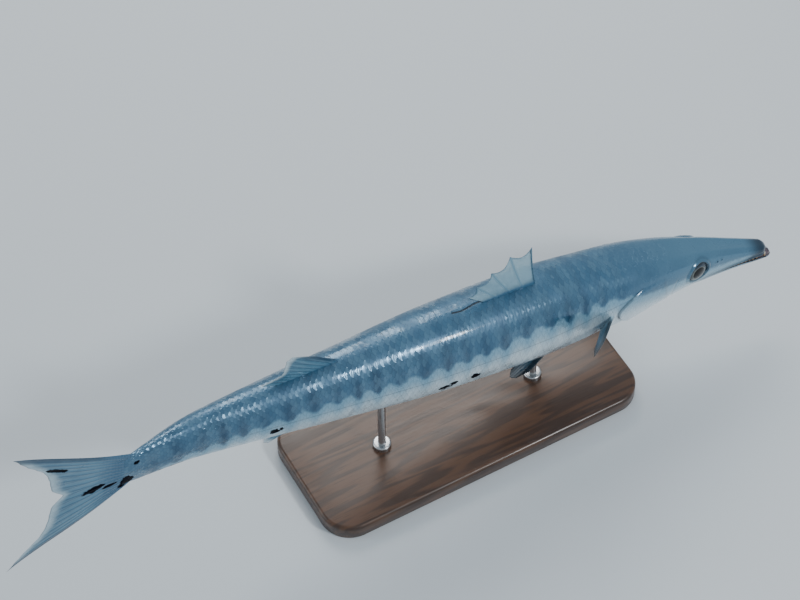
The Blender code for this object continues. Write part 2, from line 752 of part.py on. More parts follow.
def tail_lobe(name, up, paint, rays=9, rows=8):
    """One lobe of the caudal fin. across runs from 0 at the middle ray to 1 at the outer edge."""
    across = np.linspace(0, 1, 2 * rays - 1)
    root_level = TAIL_ROOT_LEVEL * across
    end_level = TAIL_HALF_SPAN * across
    roots = np.stack([TAIL_ROOT_SHARE - 0.006 * across, 0 * across, up * root_level], axis=-1)
    tips = np.stack([tail_margin(across), 0 * across, up * end_level], axis=-1)
    roots, tips = roots * STANDARD_LENGTH, tips * STANDARD_LENGTH
    half_gap = np.array([0.0, 0.0, up * GAP / 2])
    half = ray_thickness(rays, *TAIL_RAY, rows)
    t = np.linspace(0, 1, rows + 1)[:, None, None]
    middle = roots + (tips - roots) * t + half_gap
    offset = half[..., None] * np.array([0.0, 1.0, 0.0])
    lobe = closed_sheet(name, middle + offset, middle - offset, paint)
    return combine(lobe, [body_cutter(0.90, 1.0 + GAP / STANDARD_LENGTH, 10)], "DIFFERENCE")


def paired_fin(name, side, root, spread, lengths, fan, paint, rows=6):
    """A pectoral or pelvic fin. Its root runs down the flank, and its rays fan back from there."""
    share, level, root_length, root_lean = root
    out, droop = spread
    rays = len(lengths)
    columns = np.linspace(0, rays - 1, 2 * rays - 1)
    across = columns / (rays - 1)
    root_angle = math.radians(root_lean)
    shares = share + root_length * (across - 0.5) * math.cos(root_angle)
    levels = level - root_length * (across - 0.5) * math.sin(root_angle)
    turns = side * level_turn(shares, levels)
    surface = skin(shares, turns)
    out_angle, droop_angle = math.radians(out), math.radians(droop)
    ahead = np.array([
        math.cos(out_angle) * math.cos(droop_angle),
        side * math.sin(out_angle) * math.cos(droop_angle),
        -math.sin(droop_angle),
    ])
    down_root = np.array([math.cos(root_angle), 0.0, -math.sin(root_angle)])
    turned = np.radians(fan) * (across - 0.5)
    chord = down_root - ahead * (down_root @ ahead)
    chord /= np.linalg.norm(chord)
    direction = ahead * np.cos(turned)[:, None] + chord * np.sin(turned)[:, None]
    normal = np.cross(ahead, chord)
    length = np.interp(columns, range(rays), lengths) * STANDARD_LENGTH
    length = length * np.where(np.arange(2 * rays - 1) % 2 == 1, PAIRED_NOTCH, 1.0)
    inward = skin_normal(shares, turns) * -FIN_SUNK
    roots = surface + inward
    tips = surface + direction * length[:, None]
    half = ray_thickness(rays, *PAIRED_RAY, rows)
    t = np.linspace(0, 1, rows + 1)[:, None, None]
    cup = FIN_CUP * length[None, :, None] * (t * t - t) * normal
    middle = roots + (tips - roots) * t + cup
    offset = half[..., None] * normal
    fin = closed_sheet(name, middle + offset, middle - offset, paint)
    return combine(fin, [body_cutter(0.20, 0.62, 40)], "DIFFERENCE")


def pectoral_fin(word, side, paint):
    """The breast fin just behind the gill cover: the right one is spread, the left one hangs."""
    spread = PECTORAL_SPREAD[word]
    name = "pectoral_fin_" + word
    return paired_fin(name, side, PECTORAL_ROOT, spread, PECTORAL_LENGTHS, PECTORAL_FAN, paint)


def pelvic_fin(word, side, paint):
    """The small fin on the belly, laid back near the body."""
    name = "pelvic_fin_" + word
    return paired_fin(name, side, PELVIC_ROOT, PELVIC_SPREAD, PELVIC_LENGTHS, PELVIC_FAN, paint)


def make_rod(name, share, paint):
    """A round rod from a collar on the base up to the belly, trimmed to it."""
    _, belly, _, _ = outline(share)
    foot = place(np.array([share, 0.0, -belly]) * STANDARD_LENGTH)
    sides = ROD_SIDES
    turn = np.linspace(0, 2 * math.pi, sides, endpoint=False)
    circle = np.stack([np.cos(turn), np.sin(turn)], axis=-1)
    low = BASE_THICKNESS + GAP
    profile = (
        (low, COLLAR_RADIUS),
        (low + COLLAR_HEIGHT * 0.6, COLLAR_RADIUS),
        (low + COLLAR_HEIGHT, COLLAR_RADIUS * 0.7),
        (low + COLLAR_HEIGHT, ROD_RADIUS),
        (foot[2] + 0.012, ROD_RADIUS),
    )
    points = []
    for z, radius in profile:
        points += [(foot[0] + radius * c[0], foot[1] + radius * c[1], z) for c in circle]
    faces = []
    for i in range(len(profile) - 1):
        for j in range(sides):
            k = (j + 1) % sides
            a = i * sides
            faces.append((a + j, a + k, a + sides + k, a + sides + j))
    faces.append(tuple(range(sides)))
    faces.append(tuple(range((len(profile) - 1) * sides, len(profile) * sides)))
    rod = mesh_object(name, points, faces, paint)
    return combine(rod, [body_cutter(share - 0.06, share + 0.06, 14)], "DIFFERENCE")


def make_base(paint):
    """A flat slab with round corners and an eased upper edge."""
    arc = np.linspace(0, math.pi / 2, 7)
    half = np.array([BASE_LENGTH, BASE_WIDTH]) / 2
    corners = ((1, 1, 0.0), (-1, 1, math.pi / 2), (-1, -1, math.pi), (1, -1, 1.5 * math.pi))
    edge = []
    for sx, sy, start in corners:
        centre = half * (sx, sy) - np.array([sx, sy]) * BASE_CORNER
        edge += [(centre, (math.cos(start + a), math.sin(start + a))) for a in arc]
    levels = [(0.0, BASE_CHAMFER), (BASE_CHAMFER, 0.0), (BASE_THICKNESS - BASE_EASE, 0.0)]
    levels += [
        (BASE_THICKNESS - BASE_EASE * (1 - math.sin(a)), BASE_EASE * (1 - math.cos(a)))
        for a in np.linspace(0, math.pi / 2, 4)[1:]
    ]
    points, faces = [], []
    for z, inset in levels:
        for centre, spoke in edge:
            reach = BASE_CORNER - inset
            points.append((
                BASE_CENTRE[0] + centre[0] + spoke[0] * reach,
                BASE_CENTRE[1] + centre[1] + spoke[1] * reach,
                z,
            ))
    around = len(edge)
    for i in range(len(levels) - 1):
        for j in range(around):
            k = (j + 1) % around
            faces.append((i * around + j, i * around + k, (i + 1) * around + k, (i + 1) * around + j))
    faces.append(tuple(range(around)))
    faces.append(tuple(range((len(levels) - 1) * around, len(levels) * around)))
    return mesh_object("stand_base", points, faces, paint)


def main():
    clear_scene()
    back_paint = material("fish_skin", (0.075, 0.185, 0.330), 0.35)
    fin_paint = material("fin_membrane", (0.060, 0.150, 0.260), 0.40)
    eye_paint = material("eye", (0.030, 0.035, 0.040), 0.08)
    wood = material("stand_wood", (0.060, 0.032, 0.018), 0.40)
    steel = material("stand_steel", (0.550, 0.560, 0.570), 0.28, 1.0)

    make_head(back_paint)
    make_jaw(back_paint)
    for side, word in ((1, "left"), (-1, "right")):
        make_eye("eye_" + word, side, eye_paint)
        make_gill_cover("gill_cover_" + word, side, back_paint)
        pectoral_fin(word, side, fin_paint)
        pelvic_fin(word, side, fin_paint)
    body_length("trunk_front", NECK_CUT, FRONT_CUT, 11, back_paint)
    body_length("trunk_middle", FRONT_CUT, REAR_CUT, 12, back_paint)
    body_length("tail_stem", REAR_CUT, 1.0, 18, back_paint)
    first_dorsal(fin_paint)
    second_dorsal(fin_paint)
    anal_fin(fin_paint)
    tail_lobe("caudal_fin_upper", 1, fin_paint)
    tail_lobe("caudal_fin_lower", -1, fin_paint)
    make_base(wood)
    for number, share in enumerate(ROD_SHARES, start=1):
        make_rod(f"stand_rod_{number}", share, steel)


main()
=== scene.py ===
# %% [markdown]
# # A great barracuda on a display stand
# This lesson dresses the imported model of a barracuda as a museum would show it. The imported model
# says where everything is, in metres: the fish swims towards +X with its head low, its right side
# faces -Y, and +Z is up. Each piece below is a surface worked out from a formula, as whole arrays,
# and each finish is a set of shader nodes.

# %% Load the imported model
import math

import bmesh
import bpy
import numpy as np
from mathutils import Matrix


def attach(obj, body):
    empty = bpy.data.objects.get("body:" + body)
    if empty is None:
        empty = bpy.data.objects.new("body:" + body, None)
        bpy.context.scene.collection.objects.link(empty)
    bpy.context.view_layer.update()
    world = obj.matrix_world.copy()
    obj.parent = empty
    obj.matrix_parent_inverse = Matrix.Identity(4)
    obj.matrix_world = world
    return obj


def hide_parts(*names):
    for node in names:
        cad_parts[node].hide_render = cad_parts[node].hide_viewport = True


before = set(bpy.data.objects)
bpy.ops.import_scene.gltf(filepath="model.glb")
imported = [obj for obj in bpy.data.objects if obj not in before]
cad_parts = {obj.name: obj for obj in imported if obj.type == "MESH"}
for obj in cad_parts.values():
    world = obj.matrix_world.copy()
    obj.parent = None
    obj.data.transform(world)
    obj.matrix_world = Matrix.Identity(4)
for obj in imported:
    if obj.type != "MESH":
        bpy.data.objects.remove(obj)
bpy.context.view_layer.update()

scene = bpy.context.scene
print("nodes:", ", ".join(sorted(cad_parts)))

# %% [markdown]
# ## Camera, floor and light
# The photograph looks down on the fish from above and behind its right side, so the camera
# stands about three body lengths off, 53 degrees up. A long lens keeps the fish from looking
# stretched. It could be aimed with a constraint, but a plain place and turn are easier to read
# and nothing moves afterwards.

# %% Camera
CAMERA_PLACE = (-0.8463, -1.4835, 2.5900)
CAMERA_ELEVATION = 53.0
CAMERA_AZIMUTH = -29.5
CAMERA_LENS = 108.3


def add_camera():
    """Its place, and two turns: tipped down by the elevation, then round by the azimuth."""
    data = bpy.data.cameras.new("photo_camera")
    data.lens = CAMERA_LENS
    data.sensor_width = 36.0
    data.clip_end = 50.0
    camera = bpy.data.objects.new("photo_camera", data)
    camera.location = CAMERA_PLACE
    tipped, round_z = math.radians(90.0 - CAMERA_ELEVATION), math.radians(CAMERA_AZIMUTH)
    camera.rotation_euler = (tipped, 0.0, round_z)
    scene.collection.objects.link(camera)
    scene.camera = camera
    return camera


print("camera:", add_camera().name)

# %% [markdown]
# Big soft lamps give the wide, gentle highlights of a studio. The key lamp hangs above and behind
# the fish. The flank lamp stands ahead of the fish on its right, where its reflection glints on the
# scales half-way down the flank, as in the photograph. A third one draws the far edge.

# %% Lamps and world
LAMPS = (  # name, place, size, power and tint
    ("key_lamp", (0.8, 1.8, 1.9), 1.3, 34.0, (1.0, 0.98, 0.95)),
    ("flank_lamp", (1.05, -1.75, 1.80), 0.34, 30.0, (0.97, 0.99, 1.0)),
    ("edge_lamp", (-2.2, 1.2, 1.2), 1.0, 12.0, (0.95, 0.98, 1.0)),
)
LAMP_AIM = (0.0, 0.0, 0.2)
AIR_COLOUR, AIR_STRENGTH = (0.80, 0.88, 0.95), 0.55


def add_lamp(name, place, size, power, tint):
    """A square soft lamp. Its back points away from its aim, so the turn is that of the line."""
    data = bpy.data.lights.new(name, "AREA")
    data.size = size
    data.energy = power
    data.color = tint
    lamp = bpy.data.objects.new(name, data)
    line = np.array(place, float) - np.array(LAMP_AIM, float)
    across = math.atan2(line[1], line[0])
    tilt = math.acos(line[2] / np.linalg.norm(line))
    lamp.rotation_euler = (0.0, tilt, across)
    lamp.location = place
    scene.collection.objects.link(lamp)
    return lamp


def add_world(colour, strength):
    """One even colour all round, which fills the shadows."""
    world = bpy.data.worlds.new("studio_air")
    world.use_nodes = True
    background = world.node_tree.nodes["Background"]
    background.inputs["Color"].default_value = (*colour, 1.0)
    background.inputs["Strength"].default_value = strength
    scene.world = world


for row in LAMPS:
    add_lamp(*row)
add_world(AIR_COLOUR, AIR_STRENGTH)

# %% [markdown]
# ## The fish as a formula
# A barracuda is a long round body, so one function can give any point of its skin: how far back
# from the jaw tip, and how far round from the ridge of the back. The body's height, depth and
# width come from a few stations with smooth curves between them. The section is a superellipse,
# a rounded box whose corners get squarer as its power grows, which suits the flat crown.

# %% Sizes and smooth curves
LENGTH = 0.93  # jaw tip to the base of the tail fin
PITCH, ROLL = math.radians(-8.0), math.radians(4.0)
BEND = (0.0, -0.34, 1.10)  # heading by the distance behind the middle, its square and cube
FLICK = (0.88, 1.18, 0.12)  # first and last share of the tail's sideways flick, and its size
MID_PLACE = np.array((0.0817, 0.0061, 0.185))  # mid-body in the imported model's frame
STATIONS = np.array((  # share of the length; then back, belly, half width and widest level
    (0.000, 0.0030, 0.0140, 0.0085, -0.0040), (0.030, 0.0095, 0.0205, 0.0130, -0.0030),
    (0.070, 0.0190, 0.0285, 0.0180, -0.0010), (0.120, 0.0325, 0.0390, 0.0255, 0.0020),
    (0.190, 0.0470, 0.0505, 0.0385, 0.0030), (0.270, 0.0600, 0.0615, 0.0495, 0.0010),
    (0.400, 0.0715, 0.0710, 0.0565, 0.0000), (0.540, 0.0685, 0.0680, 0.0530, 0.0000),
    (0.680, 0.0570, 0.0560, 0.0425, 0.0000), (0.800, 0.0460, 0.0440, 0.0320, 0.0000),
    (0.900, 0.0380, 0.0365, 0.0215, 0.0000), (0.970, 0.0315, 0.0305, 0.0115, 0.0000),
    (1.000, 0.0295, 0.0285, 0.0055, 0.0000),
))


def through(xs, ys, x):
    """Cubic through stations. Each tangent is the harmonic mean of its two slopes, so the curve
    never swings past a station."""
    x = np.asarray(x, float)
    step = np.diff(xs)
    slope = np.diff(ys) / step
    total = np.where(slope[:-1] + slope[1:] == 0, 1, slope[:-1] + slope[1:])
    inner = np.where(slope[:-1] * slope[1:] > 0, 2 * slope[:-1] * slope[1:] / total, 0.0)
    tangent = np.concatenate([[slope[0]], inner, [slope[-1]]])
    k = np.clip(np.searchsorted(xs, x, side="right") - 1, 0, len(step) - 1)
    t = (x - xs[k]) / step[k]
    return (ys[k] * (1 + 2 * t) * (1 - t) ** 2 + tangent[k] * step[k] * t * (1 - t) ** 2
            + ys[k + 1] * t * t * (3 - 2 * t) + tangent[k + 1] * step[k] * t * t * (t - 1))


def ramp(low, high, x):
    """0 below low and 1 above high; between them 3t^2 - 2t^3, which leaves and arrives level."""
    t = np.clip((np.asarray(x, float) - low) / (high - low), 0, 1)
    return t * t * (3 - 2 * t)


def outline(share):
    """Back, belly, half width and widest level at a share, as shares of the length."""
    return tuple(through(STATIONS[:, 0], STATIONS[:, c], share) for c in (1, 2, 3, 4))


print("half width where the fish is widest: %.1f mm" % (outline(0.40)[2] * LENGTH * 1000))

# %% [markdown]
# The second number is a turn: 0 on the ridge of the back, a quarter turn on the left flank and a
# half turn under the belly, with minus signs on the right. Two more functions go with the point
# itself: the direction that points out of the skin there, and the turn that meets a given height.

# %% The skin as a function of two numbers
POWERS = ((3.0, 2.15), (2.1, 2.15))  # upper and lower half: on the head, on the body


def powers(share):
    """The two powers of the section, eased from the head's to the body's."""
    to_body = ramp(0.16, 0.34, share)
    return tuple(head + (body - head) * to_body for head, body in POWERS)


def skin(share, turn):
    """A point of the skin. Across: the half width times sin(turn) to the power 2/p, with its
    sign. Height: the same with the cosine, scaled to the back above and to the belly below."""
    share, turn = np.broadcast_arrays(np.asarray(share, float), np.asarray(turn, float))
    back, belly, half_width, level = outline(share)
    upper_power, lower_power = powers(share)
    upper = np.cos(turn) >= 0
    power = np.where(upper, upper_power, lower_power)
    across = np.sign(np.sin(turn)) * np.abs(np.sin(turn)) ** (2 / power)
    along = np.abs(np.cos(turn)) ** (2 / power)
    height = level + np.where(upper, (back - level) * along, -(belly + level) * along)
    return np.stack([share, half_width * across, height], axis=-1) * LENGTH


def skin_normal(share, turn):
    """Outward direction: the cross product of a short step back and a short step round."""
    step = 1e-3
    along = skin(share + step, turn) - skin(share - step, turn)
    around = skin(share, turn + step) - skin(share, turn - step)
    normal = np.cross(along, around)
    return normal / np.maximum(np.linalg.norm(normal, axis=-1, keepdims=True), 1e-12)


def level_turn(share, level):
    """Turn on the left side at a height: the superellipse formula solved for its angle."""
    back, belly, _, widest = outline(share)
    upper_power, lower_power = powers(share)
    high = np.clip((level - widest) / (back - widest), 0, 1) ** (upper_power / 2)
    low = np.clip((widest - level) / (belly + widest), 0, 1) ** (lower_power / 2)
    return np.where(level >= widest, np.arccos(high), math.pi - np.arccos(low))


print("a point on the left flank:", skin(0.4, math.pi / 2).round(4))

# %% [markdown]
# The fish glides along a faint S curve. The heading of its middle line is a cubic in the distance
# from mid-body, and adding up small steps along that heading gives the line itself. The body is
# drawn straight first and laid on the line afterwards, then rolled, pitched and lifted on to the
# stand. Bending finished points this way is simpler than bending every formula.


# %% From the straight body to the posed one
def swimming_line():
    """Running sum of steps of equal length, each turned by the heading at its middle. One period
    of a sine is added to the heading where the tail flicks."""
    shares = np.linspace(-0.05, 1.25, 521)
    behind = shares - 0.5
    heading = BEND[0] * behind + BEND[1] * behind**2 + BEND[2] * behind**3
    start, end, amount = FLICK
    heading += amount * np.sin(2 * math.pi * np.clip((shares - start) / (end - start), 0, 1))
    step = np.diff(shares) * LENGTH
    mean = (heading[1:] + heading[:-1]) / 2
    x = -np.concatenate([[0.0], np.cumsum(np.cos(mean) * step)])
    y = -np.concatenate([[0.0], np.cumsum(np.sin(mean) * step)])
    return shares, x - np.interp(0.5, shares, x), y - np.interp(0.5, shares, y), heading


LINE = swimming_line()


def place(points):
    """Straight body to the world: across the line at its heading, then roll, pitch and lift."""
    points = np.asarray(points, float)
    share = points[..., 0] / LENGTH
    heading = np.interp(share, LINE[0], LINE[3])
    x = np.interp(share, LINE[0], LINE[1]) - points[..., 1] * np.sin(heading)
    y = np.interp(share, LINE[0], LINE[2]) + points[..., 1] * np.cos(heading)
    z = points[..., 2]
    y, z = y * math.cos(ROLL) - z * math.sin(ROLL), y * math.sin(ROLL) + z * math.cos(ROLL)
    x, z = x * math.cos(PITCH) - z * math.sin(PITCH), x * math.sin(PITCH) + z * math.cos(PITCH)
    return np.stack([x, y, z], axis=-1) + MID_PLACE


print("jaw tip in the world:", place(np.zeros(3)).round(4))

# %% [markdown]
# ## From arrays to meshes
# A grid of points becomes a mesh when each little square of four neighbours becomes a face. A
# piece may be sewn from several grids: they repeat the points along their seams, and merging the
# doubles joins them. Numbers that the paint needs, such as the distance to an edge of a marking,
# travel with the points as attributes.


# %% Grids into one closed mesh
def grid_faces(rows, columns, first, wrap):
    """Corner numbers of each square: a point, its right neighbour, and the two in the next row."""
    i = np.arange(rows - 1)[:, None]
    j = np.arange(columns if wrap else columns - 1)[None, :]
    k = (j + 1) % columns
    corners = [i * columns + j, i * columns + k, (i + 1) * columns + k, (i + 1) * columns + j]
    shape = (rows - 1, j.shape[1])
    return first + np.stack([np.broadcast_to(c, shape) for c in corners], -1).reshape(-1, 4)


def add_fields(mesh, fields):
    """Each array becomes an attribute of the points: one number each, or three as a vector."""
    for key in fields[0]:
        tables = [np.asarray(grid[key], float) for grid in fields]
        values = np.concatenate([table.reshape(math.prod(table.shape[:2]), -1) for table in tables])
        kind, slot = ("FLOAT", "value") if values.shape[1] == 1 else ("FLOAT_VECTOR", "vector")
        layer = mesh.attributes.new(key, kind, "POINT")
        layer.data.foreach_set(slot, values.ravel().astype(np.float32))


def sew(name, grids, paint, fields=(), merge=2e-6, crease=None):
    """One mesh from grids of world points. grids holds (points, wrap) and fields holds one dict
    of arrays for each grid. Points within merge are joined and open ends are filled. The mesh is
    smooth, and where crease is given it is sharp at edges that turn by more degrees."""
    points = [np.asarray(g, float) for g, _ in grids]
    starts = np.concatenate([[0], np.cumsum([p.shape[0] * p.shape[1] for p in points])])
    flat = np.concatenate([p.reshape(-1, 3) for p in points])
    faces = np.concatenate([
        grid_faces(*p.shape[:2], first, wrap) for (_, wrap), p, first in zip(grids, points, starts)
    ])
    mesh = bpy.data.meshes.new(name)
    mesh.from_pydata(flat.tolist(), [], faces.tolist())
    if fields:
        add_fields(mesh, fields)
    shape = bmesh.new()
    shape.from_mesh(mesh)
    bmesh.ops.remove_doubles(shape, verts=shape.verts, dist=merge)
    open_edges = [e for e in shape.edges if len(e.link_faces) == 1]
    if open_edges:
        bmesh.ops.holes_fill(shape, edges=open_edges, sides=0)
    bmesh.ops.recalc_face_normals(shape, faces=shape.faces)
    still_open = sum(len(e.link_faces) != 2 for e in shape.edges)
    shape.to_mesh(mesh)
    shape.free()
    mesh.shade_smooth()
    if crease:
        mesh.set_sharp_from_angle(angle=math.radians(crease))
    piece = bpy.data.objects.new(name, mesh)
    scene.collection.objects.link(piece)
    mesh.materials.append(paint)
    mesh.calc_loop_triangles()
    print(f"{name}: {len(mesh.loop_triangles)} triangles, {still_open} open edges")
    return piece


def stand_for(piece, slot, *nodes):
    """The piece shows in place of the nodes and rides on the fish. The slot argument is not used."""
    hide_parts(*nodes)
    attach(piece, "root")


print("sewing ready")

# %% [markdown]
# ## Shader groups
# Several finishes share the same effects, so each effect is a node group with named sockets: a
# marking's ragged edge, the scales, and the fine unevenness of a wet skin. A group is built once
# and placed in every material that needs it, with its own values there. Nodes can be placed by
# hand in the shader editor. Here a small class places them, so that a finish reads like a recipe.


# %% A small helper for wiring nodes
class Wiring:
    """Adds nodes to a tree. Values that are sockets are linked, and the rest are set."""

    def __init__(self, tree):
        self.tree = tree

    def feed(self, inputs, values):
        """Links each value that is a socket to its input, and sets the others."""
        for key, value in values.items():
            if isinstance(value, bpy.types.NodeSocket):
                self.tree.links.new(value, inputs[key])
            else:
                inputs[key].default_value = value

    def add(self, kind, inputs=None, **settings):
        """A node of one kind, with its settings and inputs."""
        node = self.tree.nodes.new(kind)
        for key, value in settings.items():
            setattr(node, key, value)
        self.feed(node.inputs, inputs or {})
        return node

    def math(self, operation, a, b=0.0, c=0.0):
        """One sum of up to three values."""
        return self.add("ShaderNodeMath", {0: a, 1: b, 2: c}, operation=operation).outputs[0]

    def times(self, a, b, plus=None):
        """a times b, and plus a third value where one is given."""
        if plus is None:
            return self.math("MULTIPLY", a, b)
        return self.math("MULTIPLY_ADD", a, b, plus)

    def minus(self, a, b):
        """a minus b."""
        return self.math("SUBTRACT", a, b)

    def larger(self, a, b):
        """The larger of two values."""
        return self.math("MAXIMUM", a, b)

    def smooth(self, value, low, high, to_low=0.0, to_high=1.0):
        """The ramp 3t^2 - 2t^3 between low and high, scaled to the last two values."""
        inputs = {"Value": value, "From Min": low, "From Max": high,
                  "To Min": to_low, "To Max": to_high}
        node = self.add("ShaderNodeMapRange", inputs, interpolation_type="SMOOTHSTEP")
        return node.outputs["Result"]

    def mix(self, factor, a, b):
        """Colour a at factor 0 and b at factor 1."""
        return self.add("ShaderNodeMix", {0: factor, 6: a, 7: b}, data_type="RGBA").outputs[2]

    def attribute(self, name, output="Fac"):
        """A number, or with "Vector" three numbers, that the mesh carries."""
        return self.add("ShaderNodeAttribute", attribute_name=name).outputs[output]

    def split(self, vector):
        """X, Y and Z of a vector."""
        return self.add("ShaderNodeSeparateXYZ", {"Vector": vector}).outputs

    def join(self, x, y):
        """A vector from X and Y."""
        return self.add("ShaderNodeCombineXYZ", {"X": x, "Y": y}).outputs[0]

    def length(self, vector):
        """The root of the sum of the squares."""
        return self.add("ShaderNodeVectorMath", {0: vector}, operation="LENGTH").outputs["Value"]

    def place(self, scale=None):
        """The point's own coordinates in metres, stretched where a scale is given."""
        point = self.add("ShaderNodeTexCoord").outputs["Object"]
        if scale:
            point = self.add("ShaderNodeMapping", {"Vector": point, "Scale": scale}).outputs[0]
        return point

    def noise(self, point, scale, detail=3.0, roughness=0.5):
        """Cloudy values round 0.5."""
        inputs = {"Vector": point, "Scale": scale, "Detail": detail, "Roughness": roughness}
        return self.add("ShaderNodeTexNoise", inputs).outputs["Fac"]

    def bump(self, height, strength, distance):
        """The normal of a relief: a height of 1 stands for the distance in metres."""
        inputs = {"Height": height, "Strength": strength, "Distance": distance}
        return self.add("ShaderNodeBump", inputs).outputs["Normal"]


FLOAT, VECTOR, COLOUR = "NodeSocketFloat", "NodeSocketVector", "NodeSocketColor"


def new_group(name, inputs, outputs):
    """An empty group. inputs holds (name, kind, value) rows and outputs (name, kind) rows. Gives
    the group, its wiring, and the sockets inside it to read from and to write to."""
    group = bpy.data.node_groups.new(name, "ShaderNodeTree")
    for label, kind, value in inputs:
        socket = group.interface.new_socket(label, in_out="INPUT", socket_type=kind)
        if value is not None:
            socket.default_value = value
    for label, kind in outputs:
        group.interface.new_socket(label, in_out="OUTPUT", socket_type=kind)
    wiring = Wiring(group)
    given, out = wiring.add("NodeGroupInput").outputs, wiring.add("NodeGroupOutput").inputs
    return group, wiring, given, out


print("wiring ready")

# %% [markdown]
# **A marking's ragged edge.** A bar or an ink spot has no ruled outline: pigment cells thin out at
# its rim. The mesh carries a smooth field that is positive inside the marking. Adding noise before
# the threshold makes the outline wander, which costs nothing compared with painting it.


# %% Group: ragged edge
def build_ragged_edge():
    """Field plus Reach times a noise round 0, then a ramp from minus Softness to Softness."""
    group, w, given, out = new_group(
        "ragged_edge",
        (("Field", FLOAT, 0.0), ("Reach", FLOAT, 1.0), ("Softness", FLOAT, 0.2),
         ("Scale", FLOAT, 90.0)),
        (("Mask", FLOAT),),
    )
    grain = w.noise(w.place(), given["Scale"], 5.0, 0.6)
    field = w.math("ADD", given["Field"], w.times(w.minus(grain, 0.5), given["Reach"]))
    low = w.times(given["Softness"], -1.0)
    w.feed(out, {"Mask": w.smooth(field, low, given["Softness"])})
    return group


RAGGED_EDGE = build_ragged_edge()
print("group:", RAGGED_EDGE.name)

# %% [markdown]
# **Scales.** They lie like roof tiles: a scale is twice as wide as its row, each row is half a
# scale out of step with the next, and the free edges are round. So every point lies under scales
# of two rows. The height of each is a saw-tooth along the body, bent by a circle's arc, and the
# higher of the two is the one that shows. The mesh carries the row and the place along it, so the
# scales shrink towards the tail as real ones do.


# %% Group: scales
def build_scales():
    """The place along a row, pushed on by half of 1 - sqrt(1 - away^2), has a whole part that
    numbers the scale and a fraction that is its height. away is the distance from its middle."""
    group, w, given, out = new_group(
        "scales", (("Grid", VECTOR, None),),
        (("Height", FLOAT), ("EdgeShadow", FLOAT), ("Variety", FLOAT)),
    )
    along, row, _ = w.split(given["Grid"])
    first = w.math("FLOOR", w.minus(row, 0.5))
    rows = []
    for offset in (0.0, 1.0):
        number = w.math("ADD", first, offset)
        away = w.minus(w.minus(row, number), 0.5)
        square = w.larger(w.times(away, w.times(away, -1.0), 1.0), 0.0)
        bow = w.minus(1.0, w.math("SQRT", square))
        shift = w.times(w.math("PINGPONG", number, 1.0), 0.5)
        pushed = w.times(bow, 0.5, w.math("ADD", along, shift))
        cell = w.join(w.math("FLOOR", pushed), number)
        chance = w.add("ShaderNodeTexWhiteNoise", {"Vector": cell}, noise_dimensions="3D")
        rows.append((w.math("FRACT", pushed), chance.outputs["Value"]))
    (near, near_chance), (far, far_chance) = rows
    which = w.math("GREATER_THAN", far, near)
    # EdgeShadow is a painted shadow just behind each scale's free edge, where the scale in front
    # overlaps it.
    w.feed(out, {
        "Height": w.smooth(w.larger(near, far), 0.5, 1.0),
        "EdgeShadow": w.smooth(w.math("MINIMUM", near, far), 0.16, 0.02),
        "Variety": w.times(which, w.minus(far_chance, near_chance), near_chance),
    })
    return group


SCALES = build_scales()
print("group:", SCALES.name)

# %% [markdown]
# **Wet skin.** Slime and fine folds break a highlight into small pieces. Two noises of different
# size give an uneven height, and the larger one also varies how sharp the shine is. One even
# roughness would look like plastic.


# %% Group: wet skin
def build_wet_skin():
    """Height is 0.4 of a fine noise and 0.6 of a broad one. The broad one also leads the
    roughness from Low to High."""
    group, w, given, out = new_group(
        "wet_skin", (("Scale", FLOAT, 220.0), ("Low", FLOAT, 0.22), ("High", FLOAT, 0.42)),
        (("Roughness", FLOAT), ("Height", FLOAT)),
    )
    point = w.place()
    fine = w.noise(point, given["Scale"], 4.0, 0.55)
    broad = w.noise(point, w.times(given["Scale"], 0.16), 3.0, 0.5)
    w.feed(out, {
        "Height": w.times(fine, 0.4, w.times(broad, 0.6)),
        "Roughness": w.smooth(broad, 0.3, 0.7, given["Low"], given["High"]),
    })
    return group


WET_SKIN = build_wet_skin()
print("group:", WET_SKIN.name)

# %% [markdown]
# **The blue of the back.** The back and the fins that grow on it share one colour: two blues mixed
# by a cloudy noise, with fine dark specks of pigment. It is a group so that no seam of colour shows
# where a fin leaves the body. A painted texture would do the same but couldn't cross the pieces.


# %% Group: the blue of the back
def tone(red, green, blue):
    """An 8-bit screen colour as the light it stands for: its share to the power 2.2."""
    return tuple((c / 255.0) ** 2.2 for c in (red, green, blue)) + (1.0,)


BACK = tone(56, 96, 126)
BACK_BAR = tone(24, 52, 80)
CROWN = tone(84, 126, 152)


def build_back_blue():
    """The larger of the cloud and Light leads from the back's blue to the crown's paler one."""
    group, w, given, out = new_group(
        "back_blue", (("Light", FLOAT, 0.0),), (("Color", COLOUR), ("Cloud", FLOAT)),
    )
    point = w.place()
    cloud = w.noise(point, 26.0, 4.0, 0.6)
    speckle = w.noise(point, 520.0, 2.0, 0.6)
    colour = w.mix(w.larger(w.times(cloud, 0.55), given["Light"]), BACK, CROWN)
    specks = w.smooth(speckle, 0.55, 0.80, 0.0, 0.30)
    w.feed(out, {"Color": w.mix(specks, colour, BACK_BAR), "Cloud": cloud})
    return group


BACK_BLUE = build_back_blue()
print("group:", BACK_BLUE.name)

# %% [markdown]
# **Materials.** Each finish below is one Principled shader, whose sockets follow real surfaces:
# the colour, how rough it is, how much it is like metal, and a clear coat on top. Two helpers save
# repeating its first steps.


# %% Placing a group and starting a material
def use_group(w, group, **inputs):
    """Places a group in a material. The inputs' names are the socket names."""
    node = w.add("ShaderNodeGroup", node_tree=group)
    w.feed(node.inputs, inputs)
    return node.outputs


def start_material(name):
    """A material with one Principled shader: gives it, its wiring and the shader's inputs."""
    material = bpy.data.materials.new(name)
    material.use_nodes = True
    material.node_tree.nodes.clear()
    w = Wiring(material.node_tree)
    shader = w.add("ShaderNodeBsdfPrincipled")
    w.add("ShaderNodeOutputMaterial", {"Surface": shader.outputs[0]})
    return material, w, shader.inputs


print("steel blue of the back as light:", [round(c, 3) for c in BACK[:3]])

